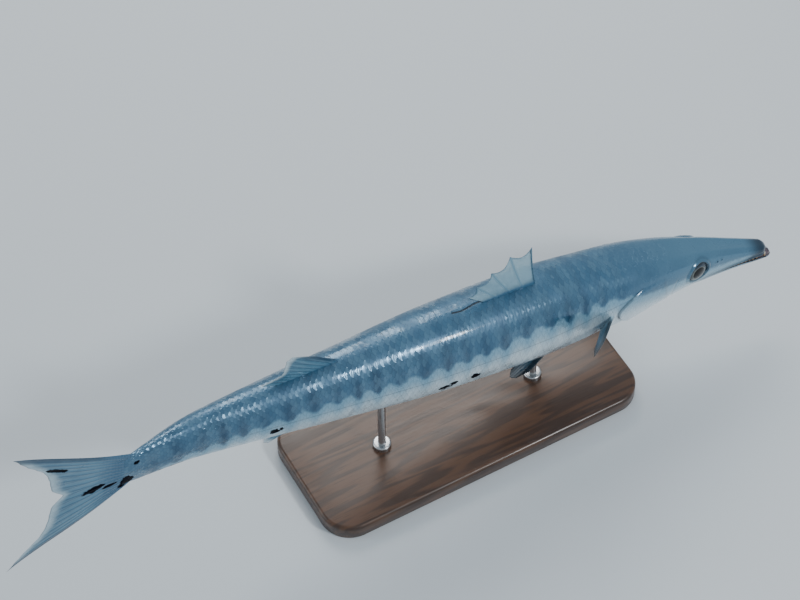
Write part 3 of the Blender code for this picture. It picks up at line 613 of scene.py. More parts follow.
# %% [markdown]
# ## The skin's paint
# From above the fish is steel blue, and its lower side is a pale bluish white. Where they meet, the
# dark of the back ends in some twenty scallops, the lower ends of faint bars. Inky spots are
# scattered low on the rear flank. Guanine in the scales makes the flank partly metallic, so the
# material is too. A coat stands for the wet film.

# %% Material: skin
FLANK = tone(124, 166, 190)
BELLY = tone(214, 230, 238)
INK = tone(8, 14, 28)
MOUTH = tone(96, 88, 98)
# DUSK_AND_SHADE: the tone of the dusky snout, lips and lateral-line pores, and of the painted shade
# in creases
DUSK_AND_SHADE = tone(18, 38, 56)
SCALE_METAL, INK_ROUGHNESS = 0.32, 0.7


def skin_material():
    """Colours laid over each other, then the relief, and then how the surface shines."""
    material, w, face = start_material("barracuda_skin")
    grid = w.attribute("scale_grid", "Vector")
    along, _, strength = w.split(grid)
    scales = use_group(w, SCALES, Grid=grid)
    wet = use_group(w, WET_SKIN, Scale=230.0, Low=0.13, High=0.32)
    blue = use_group(w, BACK_BLUE, Light=w.attribute("crown"))

    # the dark back and its bars, over a flank that pales towards the belly
    height = w.attribute("above_edge")
    dark = use_group(w, RAGGED_EDGE, Field=height, Reach=11.0, Softness=3.4, Scale=150.0)["Mask"]
    bar = w.times(w.attribute("bar"), w.smooth(blue["Cloud"], 0.25, 0.65, 0.65, 1.0))
    back = w.mix(bar, blue["Color"], BACK_BAR)
    colour = w.mix(dark, w.mix(w.smooth(height, -38.0, -2.0), BELLY, FLANK), back)

    # every scale has a painted shadow just behind its free edge
    rim = w.times(scales["EdgeShadow"], w.times(strength, 0.42))
    colour = w.mix(rim, colour, w.mix(0.6, colour, BACK_BAR))
    # a paler tone at random on each scale, partly the scale's own silver and partly a painted glint
    shade = w.times(w.smooth(scales["Variety"], 0.1, 1.0), w.times(strength, 0.16))
    colour = w.mix(shade, colour, FLANK)

    # the lateral line is a row of dark pores, one to a scale; the groove is a crack darkened with
    # painted shade
    level = w.math("ABSOLUTE", w.attribute("lateral"))
    pore = w.smooth(w.math("FRACT", along), 0.95, 0.60, 0.6, 1.0)
    line = w.times(w.smooth(level, 1.1, 0.4), w.times(strength, pore))
    colour = w.mix(w.times(line, 0.35), colour, DUSK_AND_SHADE)
    groove = w.smooth(w.length(w.attribute("groove", "Vector")), 1.9, 0.7)
    colour = w.mix(w.times(groove, 0.85), colour, INK)

    # ink spots, the dusky snout and lips, painted shade in the creases, and the inside of the mouth
    spots = {"Field": w.attribute("ink"), "Reach": 3.6, "Softness": 0.12, "Scale": 95.0}
    ink = use_group(w, RAGGED_EDGE, **spots)["Mask"]
    colour = w.mix(ink, colour, INK)
    # the crease field is painted shade; dusk is the snout's own dusky colour
    dusk = w.larger(w.times(w.attribute("crease"), 0.78), w.attribute("dusk"))
    colour = w.mix(dusk, colour, DUSK_AND_SHADE)
    inside = w.attribute("inside")
    colour = w.mix(inside, colour, MOUTH)

    # relief: each scale is tilted by its own amount, so the glints are uneven
    tilt = w.smooth(scales["Variety"], 0.0, 1.0, 0.35, 1.25)
    relief = w.times(scales["Height"], w.times(strength, tilt))
    relief = w.times(wet["Height"], 0.55, relief)
    relief = w.times(line, -0.4, relief)
    relief = w.times(groove, -1.4, relief)

    # shine: duller patches among the scales, and no coat on ink or in the mouth
    plain = w.times(w.minus(1.0, inside), w.minus(1.0, ink))
    dull = w.times(w.smooth(blue["Cloud"], 0.58, 0.46), strength)
    rough = w.times(dull, 0.20, wet["Roughness"])
    w.feed(face, {
        "Base Color": colour,
        "Normal": w.bump(relief, 0.60, 0.0006),
        "Metallic": w.larger(w.times(plain, SCALE_METAL), ink),
        "Roughness": w.larger(rough, w.times(ink, INK_ROUGHNESS)),
        "Coat Weight": w.times(plain, w.smooth(dull, 0.0, 1.0, 0.40, 0.06)),
        "Coat Roughness": 0.10,
    })
    return material


SKIN_PAINT = skin_material()
print("material:", SKIN_PAINT.name)

# %% [markdown]
# ## The skin
# On the real fish one skin runs from the lips to the tail, over cheeks, gill covers and trunk. It
# is made as one closed surface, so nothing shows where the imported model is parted. Behind the
# corner of the mouth a section is one closed ring. Ahead of it the ring splits in two, one round
# the snout and one round the lower jaw, and both share the line at the back of the mouth.

# %% Where the mouth runs
MOUTH_CORNER, JAW_END = 0.122, 0.162
MOUTH_HEIGHTS = (-0.0040, -0.0205)  # at the tips and at the corner
GAPE, JAW_HEEL = 0.0065, 0.0030  # metres between the tips; share from the heel to the throat
TURN_BEHIND = 0.66 * math.pi


def mouth_line(share):
    """Height of the mouth: a power curve down to the corner, then on down to the jaw's heel."""
    share = np.asarray(share, float)
    tip, corner = MOUTH_HEIGHTS
    heel = -(outline(JAW_END)[1] - JAW_HEEL)
    front = tip + (corner - tip) * np.clip(share / MOUTH_CORNER, 0, 1) ** 1.15
    back = np.clip((share - MOUTH_CORNER) / (JAW_END - MOUTH_CORNER), 0, 1)
    return front + (heel - corner) * back**1.1


def split_turn(share):
    """Turn of the mouth line on the skin, eased to one constant turn behind the corner."""
    share = np.asarray(share, float)
    ahead = np.minimum(share, MOUTH_CORNER)
    front = level_turn(ahead, mouth_line(ahead))
    return front + (TURN_BEHIND - front) * ramp(MOUTH_CORNER, MOUTH_CORNER + 0.10, share)


def jaw_drop(share):
    """Metres that the lower jaw is lowered: the gape at its tip, and nothing at the corner."""
    return GAPE * np.clip(1 - np.asarray(share, float) / MOUTH_CORNER, 0, 1)


print("turn of the mouth's corner: %.0f degrees" % math.degrees(split_turn(MOUTH_CORNER)))

# %% [markdown]
# **The eye's place and the gill cover's edge.** Round features such as the eye lie in a plane that
# touches the cheek, so a small frame of three directions is laid there. The gill cover rises slowly
# from the cheek to its free hind edge and then drops at once. A grid of even lines would cut that
# edge into steps, so the grid is bent until one of its lines runs exactly along it.

# %% The eye's place and the gill cover's edge
EYE_SHARE, EYE_LEVEL, EYE_RADIUS = 0.135, 0.0105, 0.0165
COVER_LEVELS = (0.0330, -0.0530)  # its top and its bottom
COVER_FRONT, COVER_POINT, COVER_POINT_LEVEL = 0.188, 0.276, 0.004
EDGE_LINE = 0.250  # the grid line that is bent on to the gill cover's edge


def side_frame(share, level, side, reach=EYE_RADIUS):
    """Best plane of a round patch: its centre, and its outward, rearward and upward directions."""
    step = reach / LENGTH
    shares = share + step * np.array([0.0, 1.0, -1.0, 0.0, 0.0])
    levels = level + step * np.array([0.0, 0.0, 0.0, 1.0, -1.0])
    patch = skin(shares, side * level_turn(shares, levels))
    centre = (patch[0] + patch[1:].mean(axis=0)) / 2
    rearward = (patch[1] - patch[2]) / np.linalg.norm(patch[1] - patch[2])
    outward = np.cross(rearward, patch[3] - patch[4]) * -side
    outward /= np.linalg.norm(outward)
    return centre, outward, rearward, np.cross(rearward, outward) * side


def cover_span(level):
    """Front and hind share of the gill cover: parabola in front, sine arcs to a blunt point."""
    top, bottom = COVER_LEVELS
    t = np.clip((top - level) / (top - bottom), 0, 1)
    point = (top - COVER_POINT_LEVEL) / (top - bottom)
    reach = np.where(t < point, t / point, (1 - t) / (1 - point))
    end = np.where(t < point, COVER_FRONT + 0.050, COVER_FRONT + 0.008)
    hind = end + (COVER_POINT - end) * np.sin(reach * math.pi / 2) ** 0.9
    return COVER_FRONT + 0.014 * (1 - t) ** 2 - 0.022 * t**2.2, hind


def hill(rise, fall, x):
    """Climbs from 0 to 1 over the first pair of values and falls back over the second, each by
    the smooth ramp."""
    return ramp(*rise, x) * (1 - ramp(*fall, x))


def bent_shares(stations, turns):
    """Stations pushed so that EDGE_LINE lands on the gill cover's hind edge at every turn."""
    hind = np.full(turns.shape, EDGE_LINE)
    for _ in range(4):
        hind = cover_span(skin(hind, turns)[..., 2] / LENGTH)[1]
    weight = hill((0.14, EDGE_LINE), (EDGE_LINE, 0.40), stations)
    return stations[:, None] + (hind - EDGE_LINE)[None, :] * weight[:, None]


print("gill cover ends at share", float(cover_span(COVER_POINT_LEVEL)[1]))

# %% [markdown]
# ** The head's relief** is a sum of small lifts along the skin's outward direction: the rim of the
# eye, the nostrils, the gill cover, the lines of the cheek and the ridges of the crown. Sculpting
# would give the same shapes, but bells and ramps can be moved by changing one number. Where a
# furrow would lie in shade, a second sum, the crease, darkens the paint: it is painted shade.

# %% The eye, the nostrils and the gill cover in relief
RIM_HEIGHT, SOCKET_DEPTH, FOLD_DEPTH = 0.0019, 0.0060, 0.0004  # metres, as all lifts are
NOSTRILS = ((0.094, 0.0150, 0.0011), (0.102, 0.0150, 0.0015))  # share, level and radius
NOSTRIL_RIM, NOSTRIL_DEPTH = 0.0006, 0.0014
COVER_CREASE, COVER_EDGE = 0.0009, 0.0028  # height of the cover at its front and at its edge
# COVER_SHADE is the width of the painted shade along the cover's edges
COVER_DIP, COVER_SHADE = 0.0006, 0.0016  # hollow behind the cover; width of its dark edges


def bell(x, centre, width):
    """1 at the centre, falling off to both sides as exp(-((x - centre) / width)^2)."""
    return np.exp(-(((x - centre) / width) ** 2))


def spot_distance(points, share, level, side, radius):
    """Distance of every point from a spot on one flank, measured in the spot's plane."""
    centre, _, rearward, upward = side_frame(share, level, side, radius)
    away = points - centre
    distance = np.hypot(away @ rearward, away @ upward)
    return np.where(points[..., 1] * side > 0, distance, 1.0)


def add_eye_and_nostrils(points, side, lift, crease):
    """Adds the eye's raised rim, its socket and a fine fold outside them, and for each nostril a
    pit with a rim. The crease gets painted shade where the rim meets the eyeball, in the fold
    and in each pit."""
    r = spot_distance(points, EYE_SHARE, EYE_LEVEL, side, EYE_RADIUS)
    lift += RIM_HEIGHT * bell(r, EYE_RADIUS * 1.02, 0.0021)
    lift -= SOCKET_DEPTH * (1 - ramp(EYE_RADIUS - 0.0034, EYE_RADIUS - 0.0004, r))
    # painted shade where the rim meets the eyeball, and in a fine fold outside the rim
    crease += 0.9 * bell(r, EYE_RADIUS * 0.93, 0.0016)  # where the rim meets the eyeball
    crease += 0.35 * bell(r, EYE_RADIUS * 1.22, 0.0016)  # a fine fold outside the rim
    lift -= FOLD_DEPTH * bell(r, EYE_RADIUS * 1.24, 0.0014)
    for share, level, radius in NOSTRILS:
        r = spot_distance(points, share, level, side, radius)
        pit = 1 - ramp(radius * 0.5, radius * 1.2, r)
        lift += NOSTRIL_RIM * bell(r, radius * 1.5, 0.0009) - NOSTRIL_DEPTH * pit
        # painted shade in the nostril's pit
        crease += 1.0 - ramp(radius * 0.6, radius * 1.3, r)


def add_gill_cover(share, level, lift, crease):
    """Adds a plate that rises as t^1.3 from its front to its edge, drops there within a few
    millimetres and leaves a shallow dip behind. The crease gets painted shade just behind the
    edge and, fainter, along the front."""
    top, bottom = COVER_LEVELS
    front, hind = cover_span(level)
    within = (level < top) & (level > bottom)
    t = np.clip((share - front) / (hind - front), 0, 1)
    rise = COVER_CREASE + (COVER_EDGE - COVER_CREASE) * t**1.3
    rise = rise * ramp(-0.004, 0.0015, share - front)
    rise *= hill((bottom - 0.001, bottom + 0.007), (top - 0.006, top + 0.001), level)
    behind = share - hind
    dip = COVER_DIP * np.exp(-behind / 0.002)
    rise = np.where(behind > 2e-5, rise * (1 - ramp(0.0, 0.0014, behind)) - dip, rise)
    lift += np.where(within, rise, 0.0)
    # painted shade just behind the edge, and a fainter one along the front
    crease += np.where(within, 0.85 * bell(behind, COVER_SHADE, COVER_SHADE), 0.0)
    crease += np.where(within, 0.35 * bell(share, front, COVER_SHADE), 0.0)


print("a bell half a width off its centre: %.2f" % bell(0.5, 0.0, 1.0))

# %% [markdown]
# The cheek of a barracuda shows the upper edge of its jaw, a scaly plate and an angle in front of
# the gill cover. Two bony ridges run from the eyes to the snout with a shallow trough and fine
# furrows between them, which catch the light seen from above.

# %% Lines of the cheek and ridges of the crown
# the darkness of each line is painted shade in its groove
CHEEK_LINES = {  # width as a share, depth in metres and darkness
    "jaw": (0.0011, 0.0007, 0.8), "plate": (0.0014, 0.0005, 0.3),
    "shelf": (0.0010, 0.0003, 0.2), "angle": (0.0013, 0.0005, 0.3),
}
RIDGE_HEIGHT, FURROW_HEIGHT, FURROWS = 0.00085, 0.00012, 46.0


def face_lines(share, points):
    """Soft grooves: the jaw's upper edge behind the mouth, the cheek plate, the shelf above the
    lip and the angle ahead of the gill cover. Each is a bell across its own line. Gives the
    depth, and the darkness of the painted shade in the grooves."""
    level, mouth = points[..., 2] / LENGTH, mouth_line(share)
    wide = {key: row[0] for key, row in CHEEK_LINES.items()}
    start, end = (MOUTH_CORNER - 0.004, MOUTH_CORNER + 0.002), (JAW_END - 0.004, JAW_END + 0.004)
    plate_end = 0.124 - 40.0 * (level + 0.012) ** 2
    shelf_level = 0.004 * (1 - share / 0.12)
    angle_share = 0.176 - 0.35 * np.clip(level, -0.05, 0.03) ** 2 / 0.05
    lines = {
        "jaw": bell(level, mouth, wide["jaw"]) * hill(start, end, share),
        "plate": bell(share, plate_end, wide["plate"]) * (level < -0.003) * (level > mouth),
        "shelf": bell(level - 0.30 * mouth, shelf_level, wide["shelf"])
                 * ((share < 0.118) * ramp(0.030, 0.050, share)),
        "angle": bell(share, angle_share, wide["angle"]) * (level < 0.016) * (level > -0.046),
    }
    depth, dark = (sum(CHEEK_LINES[key][k] * line for key, line in lines.items()) for k in (1, 2))
    return -depth, dark


def crown_ridges(share, points):
    """Lift of the two bony ridges from the eyes to the snout and of the shallow trough between
    them: bells across the head, faded out at both ends. Fine furrows are a cosine across it."""
    across = points[..., 1] / (outline(np.clip(share, 0.02, 1))[2] * LENGTH)
    above = ramp(0.0, 0.006, points[..., 2] / LENGTH)
    ridge = bell(np.abs(across), 0.50, 0.13) - 0.7 * bell(across, 0.0, 0.24)
    furrow = np.cos(FURROWS * across) * bell(across, 0.0, 0.55) * ramp(0.055, 0.09, share)
    window = hill((0.024, 0.060), (0.165, 0.225), share) * above
    return (RIDGE_HEIGHT * ridge + FURROW_HEIGHT * furrow) * window


def head_relief(share, points):
    """Lift in metres and the painted shade of the creases, added up over the head's features."""
    lift, crease = np.zeros(share.shape), np.zeros(share.shape)
    for side in (-1, 1):
        add_eye_and_nostrils(points, side, lift, crease)
    add_gill_cover(share, points[..., 2] / LENGTH, lift, crease)
    lines, dark = face_lines(share, points)
    return lift + lines, crease + dark


print("relief ready")

# %% [markdown]
# **Markings** are worked out with the skin. The edge of the dark back is a smooth line with a
# cosine wave pulled down from it, and the paint gets the signed height above that edge in
# millimetres. Each ink spot is an ellipse: one minus the distance in radii is positive inside.

# %% Markings
DARK_EDGE = np.array((  # share and level
    (0.00, -0.002), (0.06, 0.002), (0.12, 0.006), (0.20, 0.016), (0.30, 0.034), (0.41, 0.035),
    (0.49, 0.026), (0.60, 0.022), (0.72, 0.017), (0.82, 0.009), (0.90, -0.005), (0.96, -0.019),
    (0.99, -0.031), (1.05, -0.036),
))
MM = 1000  # millimetres in a metre
BAR_STEP, BAR_LEAN, BAR_SHARP = 0.0315, 0.10, 1.4  # spacing, lean with height, wave's power
BAR_HANG, BAR_LIFT = 0.0125, 0.004  # the edge hangs down in a scallop and rises between two
BAR_DARK = 0.70
BAR_WINDOW = (0.24, 0.31), (0.93, 1.0)  # shares over which the bars begin and end
LATERAL_LINE = np.array((  # share and level
    (0.20, 0.026), (0.28, 0.022), (0.40, 0.013), (0.60, 0.006), (0.80, 0.003), (1.05, 0.0),
))
SPOTS = (  # side, share, level, reach along, reach up
    (-1, 0.792, -0.0070, 0.0085, 0.0058), (-1, 1.000, -0.0155, 0.0095, 0.0115),
    (-1, 0.950, -0.0245, 0.0050, 0.0038), (-1, 0.547, -0.0215, 0.0080, 0.0058),
    (-1, 0.536, -0.0155, 0.0062, 0.0046), (-1, 0.505, -0.0140, 0.0096, 0.0050),
    (-1, 0.926, -0.0238, 0.0085, 0.0034), (-1, 0.986, 0.0185, 0.0036, 0.0026),
    (1, 0.610, -0.0210, 0.0085, 0.0052), (1, 0.705, -0.0120, 0.0070, 0.0060),
    (1, 0.836, -0.0160, 0.0100, 0.0066), (1, 0.882, -0.0195, 0.0052, 0.0040),
    (1, 0.968, -0.0230, 0.0088, 0.0066), (1, 0.470, -0.0280, 0.0062, 0.0040),
    (1, 1.000, -0.0155, 0.0095, 0.0115),
)
GROOVE = (0.474, 0.526, 1.6)  # first and last share behind the first fin; sway in millimetres
NO_INK, FAR = -3.0, 99.0  # fields of points that no spot or groove reaches
FAR_BELOW = {"above_edge": -20.0, "lateral": -30.0}  # the same for the two lines along the body
SCALE_STEP, SCALE_ROWS = 0.0086, 26  # share of the length per scale; rows from back to belly


def back_groove(share, points):
    """Millimetres across and beyond the shallow groove on the ridge: one wave of a sine."""
    first, last, sway = GROOVE
    t = (share - first) / (last - first)
    across = points[..., 1] * MM - sway * np.sin(2 * math.pi * np.clip(t, 0, 1))
    beyond = np.maximum(np.abs(t - 0.5) - 0.5, 0) * (last - first) * LENGTH * MM
    beyond = np.where(points[..., 2] > 0, beyond, FAR)
    return np.stack([across, beyond, 0 * across], axis=-1)


def bar_wave(share, level):
    """Cosine along the body, leaning back a little with height, sharpened by a power. A slow sine
    makes the spacing uneven."""
    phase = (share - 0.30 - BAR_LEAN * level) / BAR_STEP + 0.13 * np.sin(share * 37.0)
    return (0.5 + 0.5 * np.cos(2 * math.pi * phase)) ** BAR_SHARP


def ink_field(spots, x, y):
    """The highest of the spots' fields. A spot holds its x and y and its reach along each, and
    its field is 1 minus the distance from its middle, counted in reaches."""
    ink = np.full(np.broadcast_shapes(x.shape, y.shape), NO_INK)
    for spot_x, spot_y, wide, tall in spots:
        ink = np.maximum(ink, 1 - np.hypot((x - spot_x) / wide, (y - spot_y) / tall))
    return ink


def markings(share, points):
    """The fields that the paint reads, in a dict by name. Heights are in millimetres."""
    level = points[..., 2] / LENGTH
    back = outline(np.clip(share, 0, 1))[0]
    window = hill(*BAR_WINDOW, share)
    uneven = 0.80 + 0.20 * np.sin(61.0 * share + 30.0 * points[..., 1])
    wave = bar_wave(share, level) * window * uneven
    edge = through(DARK_EDGE[:, 0], DARK_EDGE[:, 1], np.clip(share, 0, 1.05))
    above = (level - (edge - (BAR_HANG * wave - BAR_LIFT * window))) * LENGTH * MM
    fade = ramp(-2.0, 6.0, above) * (1 - 0.65 * ramp(0.55 * back, 0.98 * back, level))
    left, right = (ink_field([row[1:] for row in SPOTS if row[0] == side], share, level)
                   for side in (1, -1))
    sensing = through(LATERAL_LINE[:, 0], LATERAL_LINE[:, 1], np.clip(share, 0.2, 1.05))
    tips = 1 - ramp(0.022, 0.052, share)
    jaw = bell(level - mouth_line(share), 0.003, 0.0040) * (1 - ramp(0.150, 0.166, share))
    return {
        "above_edge": above,
        "bar": wave * fade * BAR_DARK,
        "ink": np.where(points[..., 1] >= 0, left, right),
        "crown": (1 - ramp(0.14, 0.30, share)) * 0.75,
        "groove": back_groove(share, points),
        "lateral": (level - sensing) * LENGTH * MM,
        "dusk": np.clip(0.86 * tips + 0.72 * jaw, 0, 0.90),
    }


def scale_rows(turn):
    """Row number at a turn, counted from the ridge of the back."""
    return turn / math.pi * SCALE_ROWS + 100


def scale_grid(share, turn):
    """Place along the row, row number, and how strongly the scales show, fading on the head."""
    strength = np.maximum(ramp(0.225, 0.30, share), 0.35 * ramp(0.17, 0.20, share))
    folded = np.abs(np.where(turn > math.pi, turn - 2 * math.pi, turn))
    return np.stack([share / SCALE_STEP, scale_rows(folded), strength], axis=-1)


print("bars:", int((0.95 - 0.28) / BAR_STEP))

# %% [markdown]
# Now the grids themselves. The rings are closer together on the head, where the relief is fine.
# Along the mouth the points crowd towards both lips. Each band of the skin runs between the two
# turns of the mouth line, over the back or under the belly, and an inner band closes the mouth.

# %% Bands of the skin
UPPER_COUNT, LOWER_COUNT, INNER_COUNT = 92, 44, 12  # steps round each band
CROWDING = 0.45  # how far points bunch at a band's ends
LIP, LIP_INSIDE = 0.0012, 0.35  # the lips' height, and how much of the mouth's colour they have


def band_ends(edge, lower):
    """A band's first and last turn and its number of steps."""
    return (2 * math.pi - edge, edge, LOWER_COUNT) if lower else (edge, -edge, UPPER_COUNT)


def crowded(count):
    """Even steps from 0 to 1, minus a sine, which bunches the points at both ends."""
    t = np.linspace(0, 1, count + 1)
    return t - CROWDING * np.sin(2 * math.pi * t) / (2 * math.pi)


def outer_band(stations, shares, ends, shrink):
    """Skin points between two turns at each share, with every lift and field. Along the mouth a
    cosine swells the band's edges into lips."""
    start, end, count = ends
    start, end = start[:, None], end[:, None]
    turn = start + (end - start) * crowded(count)[None, :]
    share = np.broadcast_to(shares, turn.shape)
    flat = skin(share, turn)
    head, crease = head_relief(share, flat)
    lip_turn = np.minimum(np.abs(turn - start), np.abs(turn - end))
    mouth = (1 - ramp(MOUTH_CORNER - 0.010, MOUTH_CORNER + 0.012, stations))[:, None]
    swell = 0.5 + 0.5 * np.cos(np.clip((lip_turn - 0.10) / 0.16, -1, 1) * math.pi)
    lift = (head + LIP * swell * mouth + crown_ridges(share, flat)) * shrink[:, None]
    # painted shade in the fold at the foot of each lip
    lip_fold_shade = 0.55 * bell(lip_turn, 0.25, 0.04) * mouth
    fields = markings(share, flat)
    fields["crease"] = np.clip(crease + lip_fold_shade, 0, 1)
    fields["inside"] = np.zeros(share.shape)
    fields["scale_grid"] = scale_grid(share, turn)
    return flat + skin_normal(share, turn) * lift[..., None], fields


def inner_band(outer, first, last, lift):
    """The roof or floor of the mouth: straight across, arched by 1 - x^4."""
    x = np.linspace(-1, 1, INNER_COUNT + 2)[None, :]
    middle = (outer[:, first] + outer[:, last]) / 2
    half = (outer[:, last] - outer[:, first]) / 2
    points = middle[:, None] + half[:, None] * x[..., None]
    points[..., 2] += lift[:, None] * (1 - x**4)
    shape = points.shape[:2]
    inside = np.ones(shape)
    inside[:, [0, -1]] = LIP_INSIDE
    fields = {key: np.zeros(shape) for key in ("bar", "crown", "crease", "dusk")}
    fields.update({key: np.full(shape, value) for key, value in FAR_BELOW.items()})
    fields.update({"ink": np.full(shape, NO_INK), "groove": np.full(shape + (3,), FAR),
                   "scale_grid": np.zeros(shape + (3,)), "inside": inside})
    return points, fields


print("ring of", UPPER_COUNT + LOWER_COUNT, "points")

# %% [markdown]
# **Sewing the skin.** The snout and the lower jaw are the same kind of thing: an outer band, an
# inner band, and a rounded tip. So one function makes both from a row of numbers. Behind them come
# the rings of the body. The last ones close inside the root of the tail fin, which is as thick
# there as the body, so the scales seem to run on to the fin.

# %% Sewing the skin
MOUTH_HALVES = (  # share of the tip, its radius, rings, lower half, arch and where it fades
    (0.012, 0.010, 100, False, 0.0050, 0.75),
    (0.0, 0.012, 106, True, -0.0055, 0.70),
)
TIP_RINGS, END_RINGS, END_LENGTH, END_DRAW = 12, 10, 0.0050, 0.12
HEAD_RINGS, NECK_RINGS, TRUNK_RINGS = 124, 60, 312
NECK_END, BEHIND_COVER = 0.34, np.array([0.0013, 0.0030, 0.0050])


def rounded(distance, radius):
    """The quarter circle sqrt(1 - (1 - t)^2), with t the distance in radii: 0 at the edge."""
    return np.sqrt(np.clip(1 - (1 - np.clip(distance / radius, 0, 1)) ** 2, 0, 1))


def shrink_to_tip(points, shrink, drop):
    """Draws each section towards its own middle by the rounding of the tip, then lowers it."""
    every = np.concatenate(points, axis=1)
    middle = (every[..., 2].max(axis=1) + every[..., 2].min(axis=1)) / 2
    middle, shrink, drop = middle[:, None], shrink[:, None], drop[:, None]
    for band in points:
        band[..., 1] *= shrink
        band[..., 2] = middle + (band[..., 2] - middle) * shrink - drop


def mouth_grids(tip, radius, rings, lower, arch, fade_from):
    """Outside and inside of the snout or of the lower jaw."""
    nose = tip + radius * (1 - np.cos(np.linspace(0, math.pi / 2, TIP_RINGS)))
    shares = np.concatenate([nose, np.linspace(nose[-1], MOUTH_CORNER, rings)[1:]])
    shrink = rounded(shares - tip, radius)
    ends = band_ends(split_turn(shares), lower)
    outer, outer_fields = outer_band(shares, shares[:, None], ends, shrink)
    first, last = (0, -1) if lower else (-1, 0)
    arches = arch * (1 - ramp(MOUTH_CORNER * fade_from, MOUTH_CORNER, shares))
    inner, inner_fields = inner_band(outer, first, last, arches)
    shrink_to_tip([outer, inner], shrink, jaw_drop(shares) if lower else 0 * shares)
    return [(outer, outer_fields), (inner, inner_fields)]


def body_grids():
    """The rings behind the mouth, over the back and under the belly."""
    stations = np.concatenate([
        np.linspace(MOUTH_CORNER, EDGE_LINE, HEAD_RINGS), EDGE_LINE + BEHIND_COVER[:2],
        np.linspace(EDGE_LINE + BEHIND_COVER[2], NECK_END, NECK_RINGS),
        np.linspace(NECK_END, 1.0, TRUNK_RINGS)[1:],
    ])
    grids = []
    for lower in (False, True):
        start, end, count = ends = band_ends(split_turn(stations), lower)
        turns = start[-1] + (end[-1] - start[-1]) * crowded(count)
        shares = bent_shares(stations, np.where(turns > math.pi, turns - 2 * math.pi, turns))
        grids.append(outer_band(stations, shares, ends, np.ones(len(stations))))
    return grids


def tail_end_grid(ring, ring_fields):
    """Rounds the last ring off by a quarter circle, inside the thick root of the tail fin."""
    t = np.linspace(0, math.pi / 2, END_RINGS)[:, None]
    points = np.repeat(ring[None], END_RINGS, axis=0)
    middle = ring[:, 2].mean()
    points[..., 0] += END_LENGTH * np.sin(t)
    points[..., 1] *= np.cos(t)
    points[..., 2] = middle + (points[..., 2] - middle) * (1 - END_DRAW * (1 - np.cos(t)))
    fields = {key: np.repeat(value[None], END_RINGS, axis=0) for key, value in ring_fields.items()}
    return points, fields


def make_skin():
    """All bands in one mesh, laid on the swimming line. Doubles within 0.012 mm are merged."""
    grids = [grid for row in MOUTH_HALVES for grid in mouth_grids(*row)] + body_grids()
    for points, fields in grids[-2:]:
        grids.append(tail_end_grid(points[-1], {key: value[-1] for key, value in fields.items()}))
    worlds = [(place(points), False) for points, _ in grids]
    return sew("barracuda_skin", worlds, SKIN_PAINT, [fields for _, fields in grids], merge=1.2e-5)


stand_for(make_skin(), "fish_skin", "head", "lower_jaw", "gill_cover_left", "gill_cover_right",
          "trunk_front", "trunk_middle", "tail_stem")

# %% [markdown]
# ## The eyes
# A barracuda's eye is large and faces sideways: a flat silvery iris round a dark pupil that is
# drawn out a little towards the snout, all behind a clear cornea. The cornea's gloss is a coat
# over the paint, so a second, glassy mesh isn't needed. The socket hides the eye's rim.

# %% Material: eye
IRIS = tone(104, 114, 114)
IRIS_DARK = tone(34, 46, 54)
IRIS_RING = tone(160, 158, 136)
PUPIL = tone(6, 9, 13)


def eye_material():
    """Everything depends on the distance from the middle, in eye radii, and the fibres of the
    iris on the turn about it as well."""
    material, w, face = start_material("barracuda_eye")
    x, y, _ = w.split(w.attribute("eye_map", "Vector"))
    drawn = w.times(w.math("MINIMUM", x, 0.0), 0.18, x)
    reach = w.length(w.join(drawn, y))
    turn = w.math("ARCTAN2", y, x)
    fibre = w.noise(w.join(w.times(turn, 9.0), w.times(reach, 2.2)), 1.6, 4.0, 0.6)
    iris = w.mix(w.smooth(fibre, 0.35, 0.70), IRIS, IRIS_DARK)
    iris = w.mix(w.smooth(y, 0.15, 0.75, 0.0, 0.8), iris, BACK_BAR)
    iris = w.mix(w.smooth(reach, 0.62, 0.84, 0.0, 0.75), iris, IRIS_DARK)
    ring = w.times(w.smooth(reach, 0.57, 0.60), w.smooth(reach, 0.64, 0.60))
    iris = w.mix(w.times(ring, 0.6), iris, IRIS_RING)
    pupil = w.smooth(reach, 0.605, 0.580)
    w.feed(face, {
        "Base Color": w.mix(pupil, iris, PUPIL),
        "Metallic": w.larger(pupil, 0.45),
        "Roughness": w.smooth(fibre, 0.2, 0.8, 0.18, 0.34),
        "Coat Weight": 0.7, "Coat Roughness": 0.03,
    })
    return material


EYE_PAINT = eye_material()
print("material:", EYE_PAINT.name)

# %% [markdown]
# **Eyeballs.** Each is a flattened ball that looks out of the cheek. Blender's sphere could be
# scaled and turned, but building the ball in the eye's own three directions puts it straight into
# its socket, and the place on the iris is known for the paint.

# %% Eyeballs
EYE_HALF_DEPTH, EYE_INSET, CORNEA = 0.0070, 0.0040, 0.0005
EYE_RINGS, EYE_SIDES = 34, 56


def circle(count):
    """Even turns round a full circle."""
    return np.linspace(0, 2 * math.pi, count, endpoint=False)


def make_eye(name, side):
    """Across: radius times sine. Out: half depth times cosine, and a low bell for the cornea."""
    centre, outward, rearward, upward = side_frame(EYE_SHARE, EYE_LEVEL, side)
    polar, turn = np.linspace(0, math.pi, EYE_RINGS)[:, None], circle(EYE_SIDES)[None, :]
    x, y, front = np.sin(polar) * np.cos(turn), np.sin(polar) * np.sin(turn), np.cos(polar)
    cornea = CORNEA * np.exp(-((x**2 + y**2) / 0.30)) * (front > 0)
    out = EYE_HALF_DEPTH * front - EYE_INSET + cornea
    disc = EYE_RADIUS * (x[..., None] * rearward + y[..., None] * upward)
    points = centre + out[..., None] * outward + disc
    spot = np.stack([x, y, 0 * x], axis=-1)
    behind = 1.2 * spot / np.maximum(np.sin(polar), 1e-6)[..., None]
    spot = np.where(front[..., None] > 0, spot, behind)
    return sew(name, [(place(points), True)], EYE_PAINT, [{"eye_map": spot}])


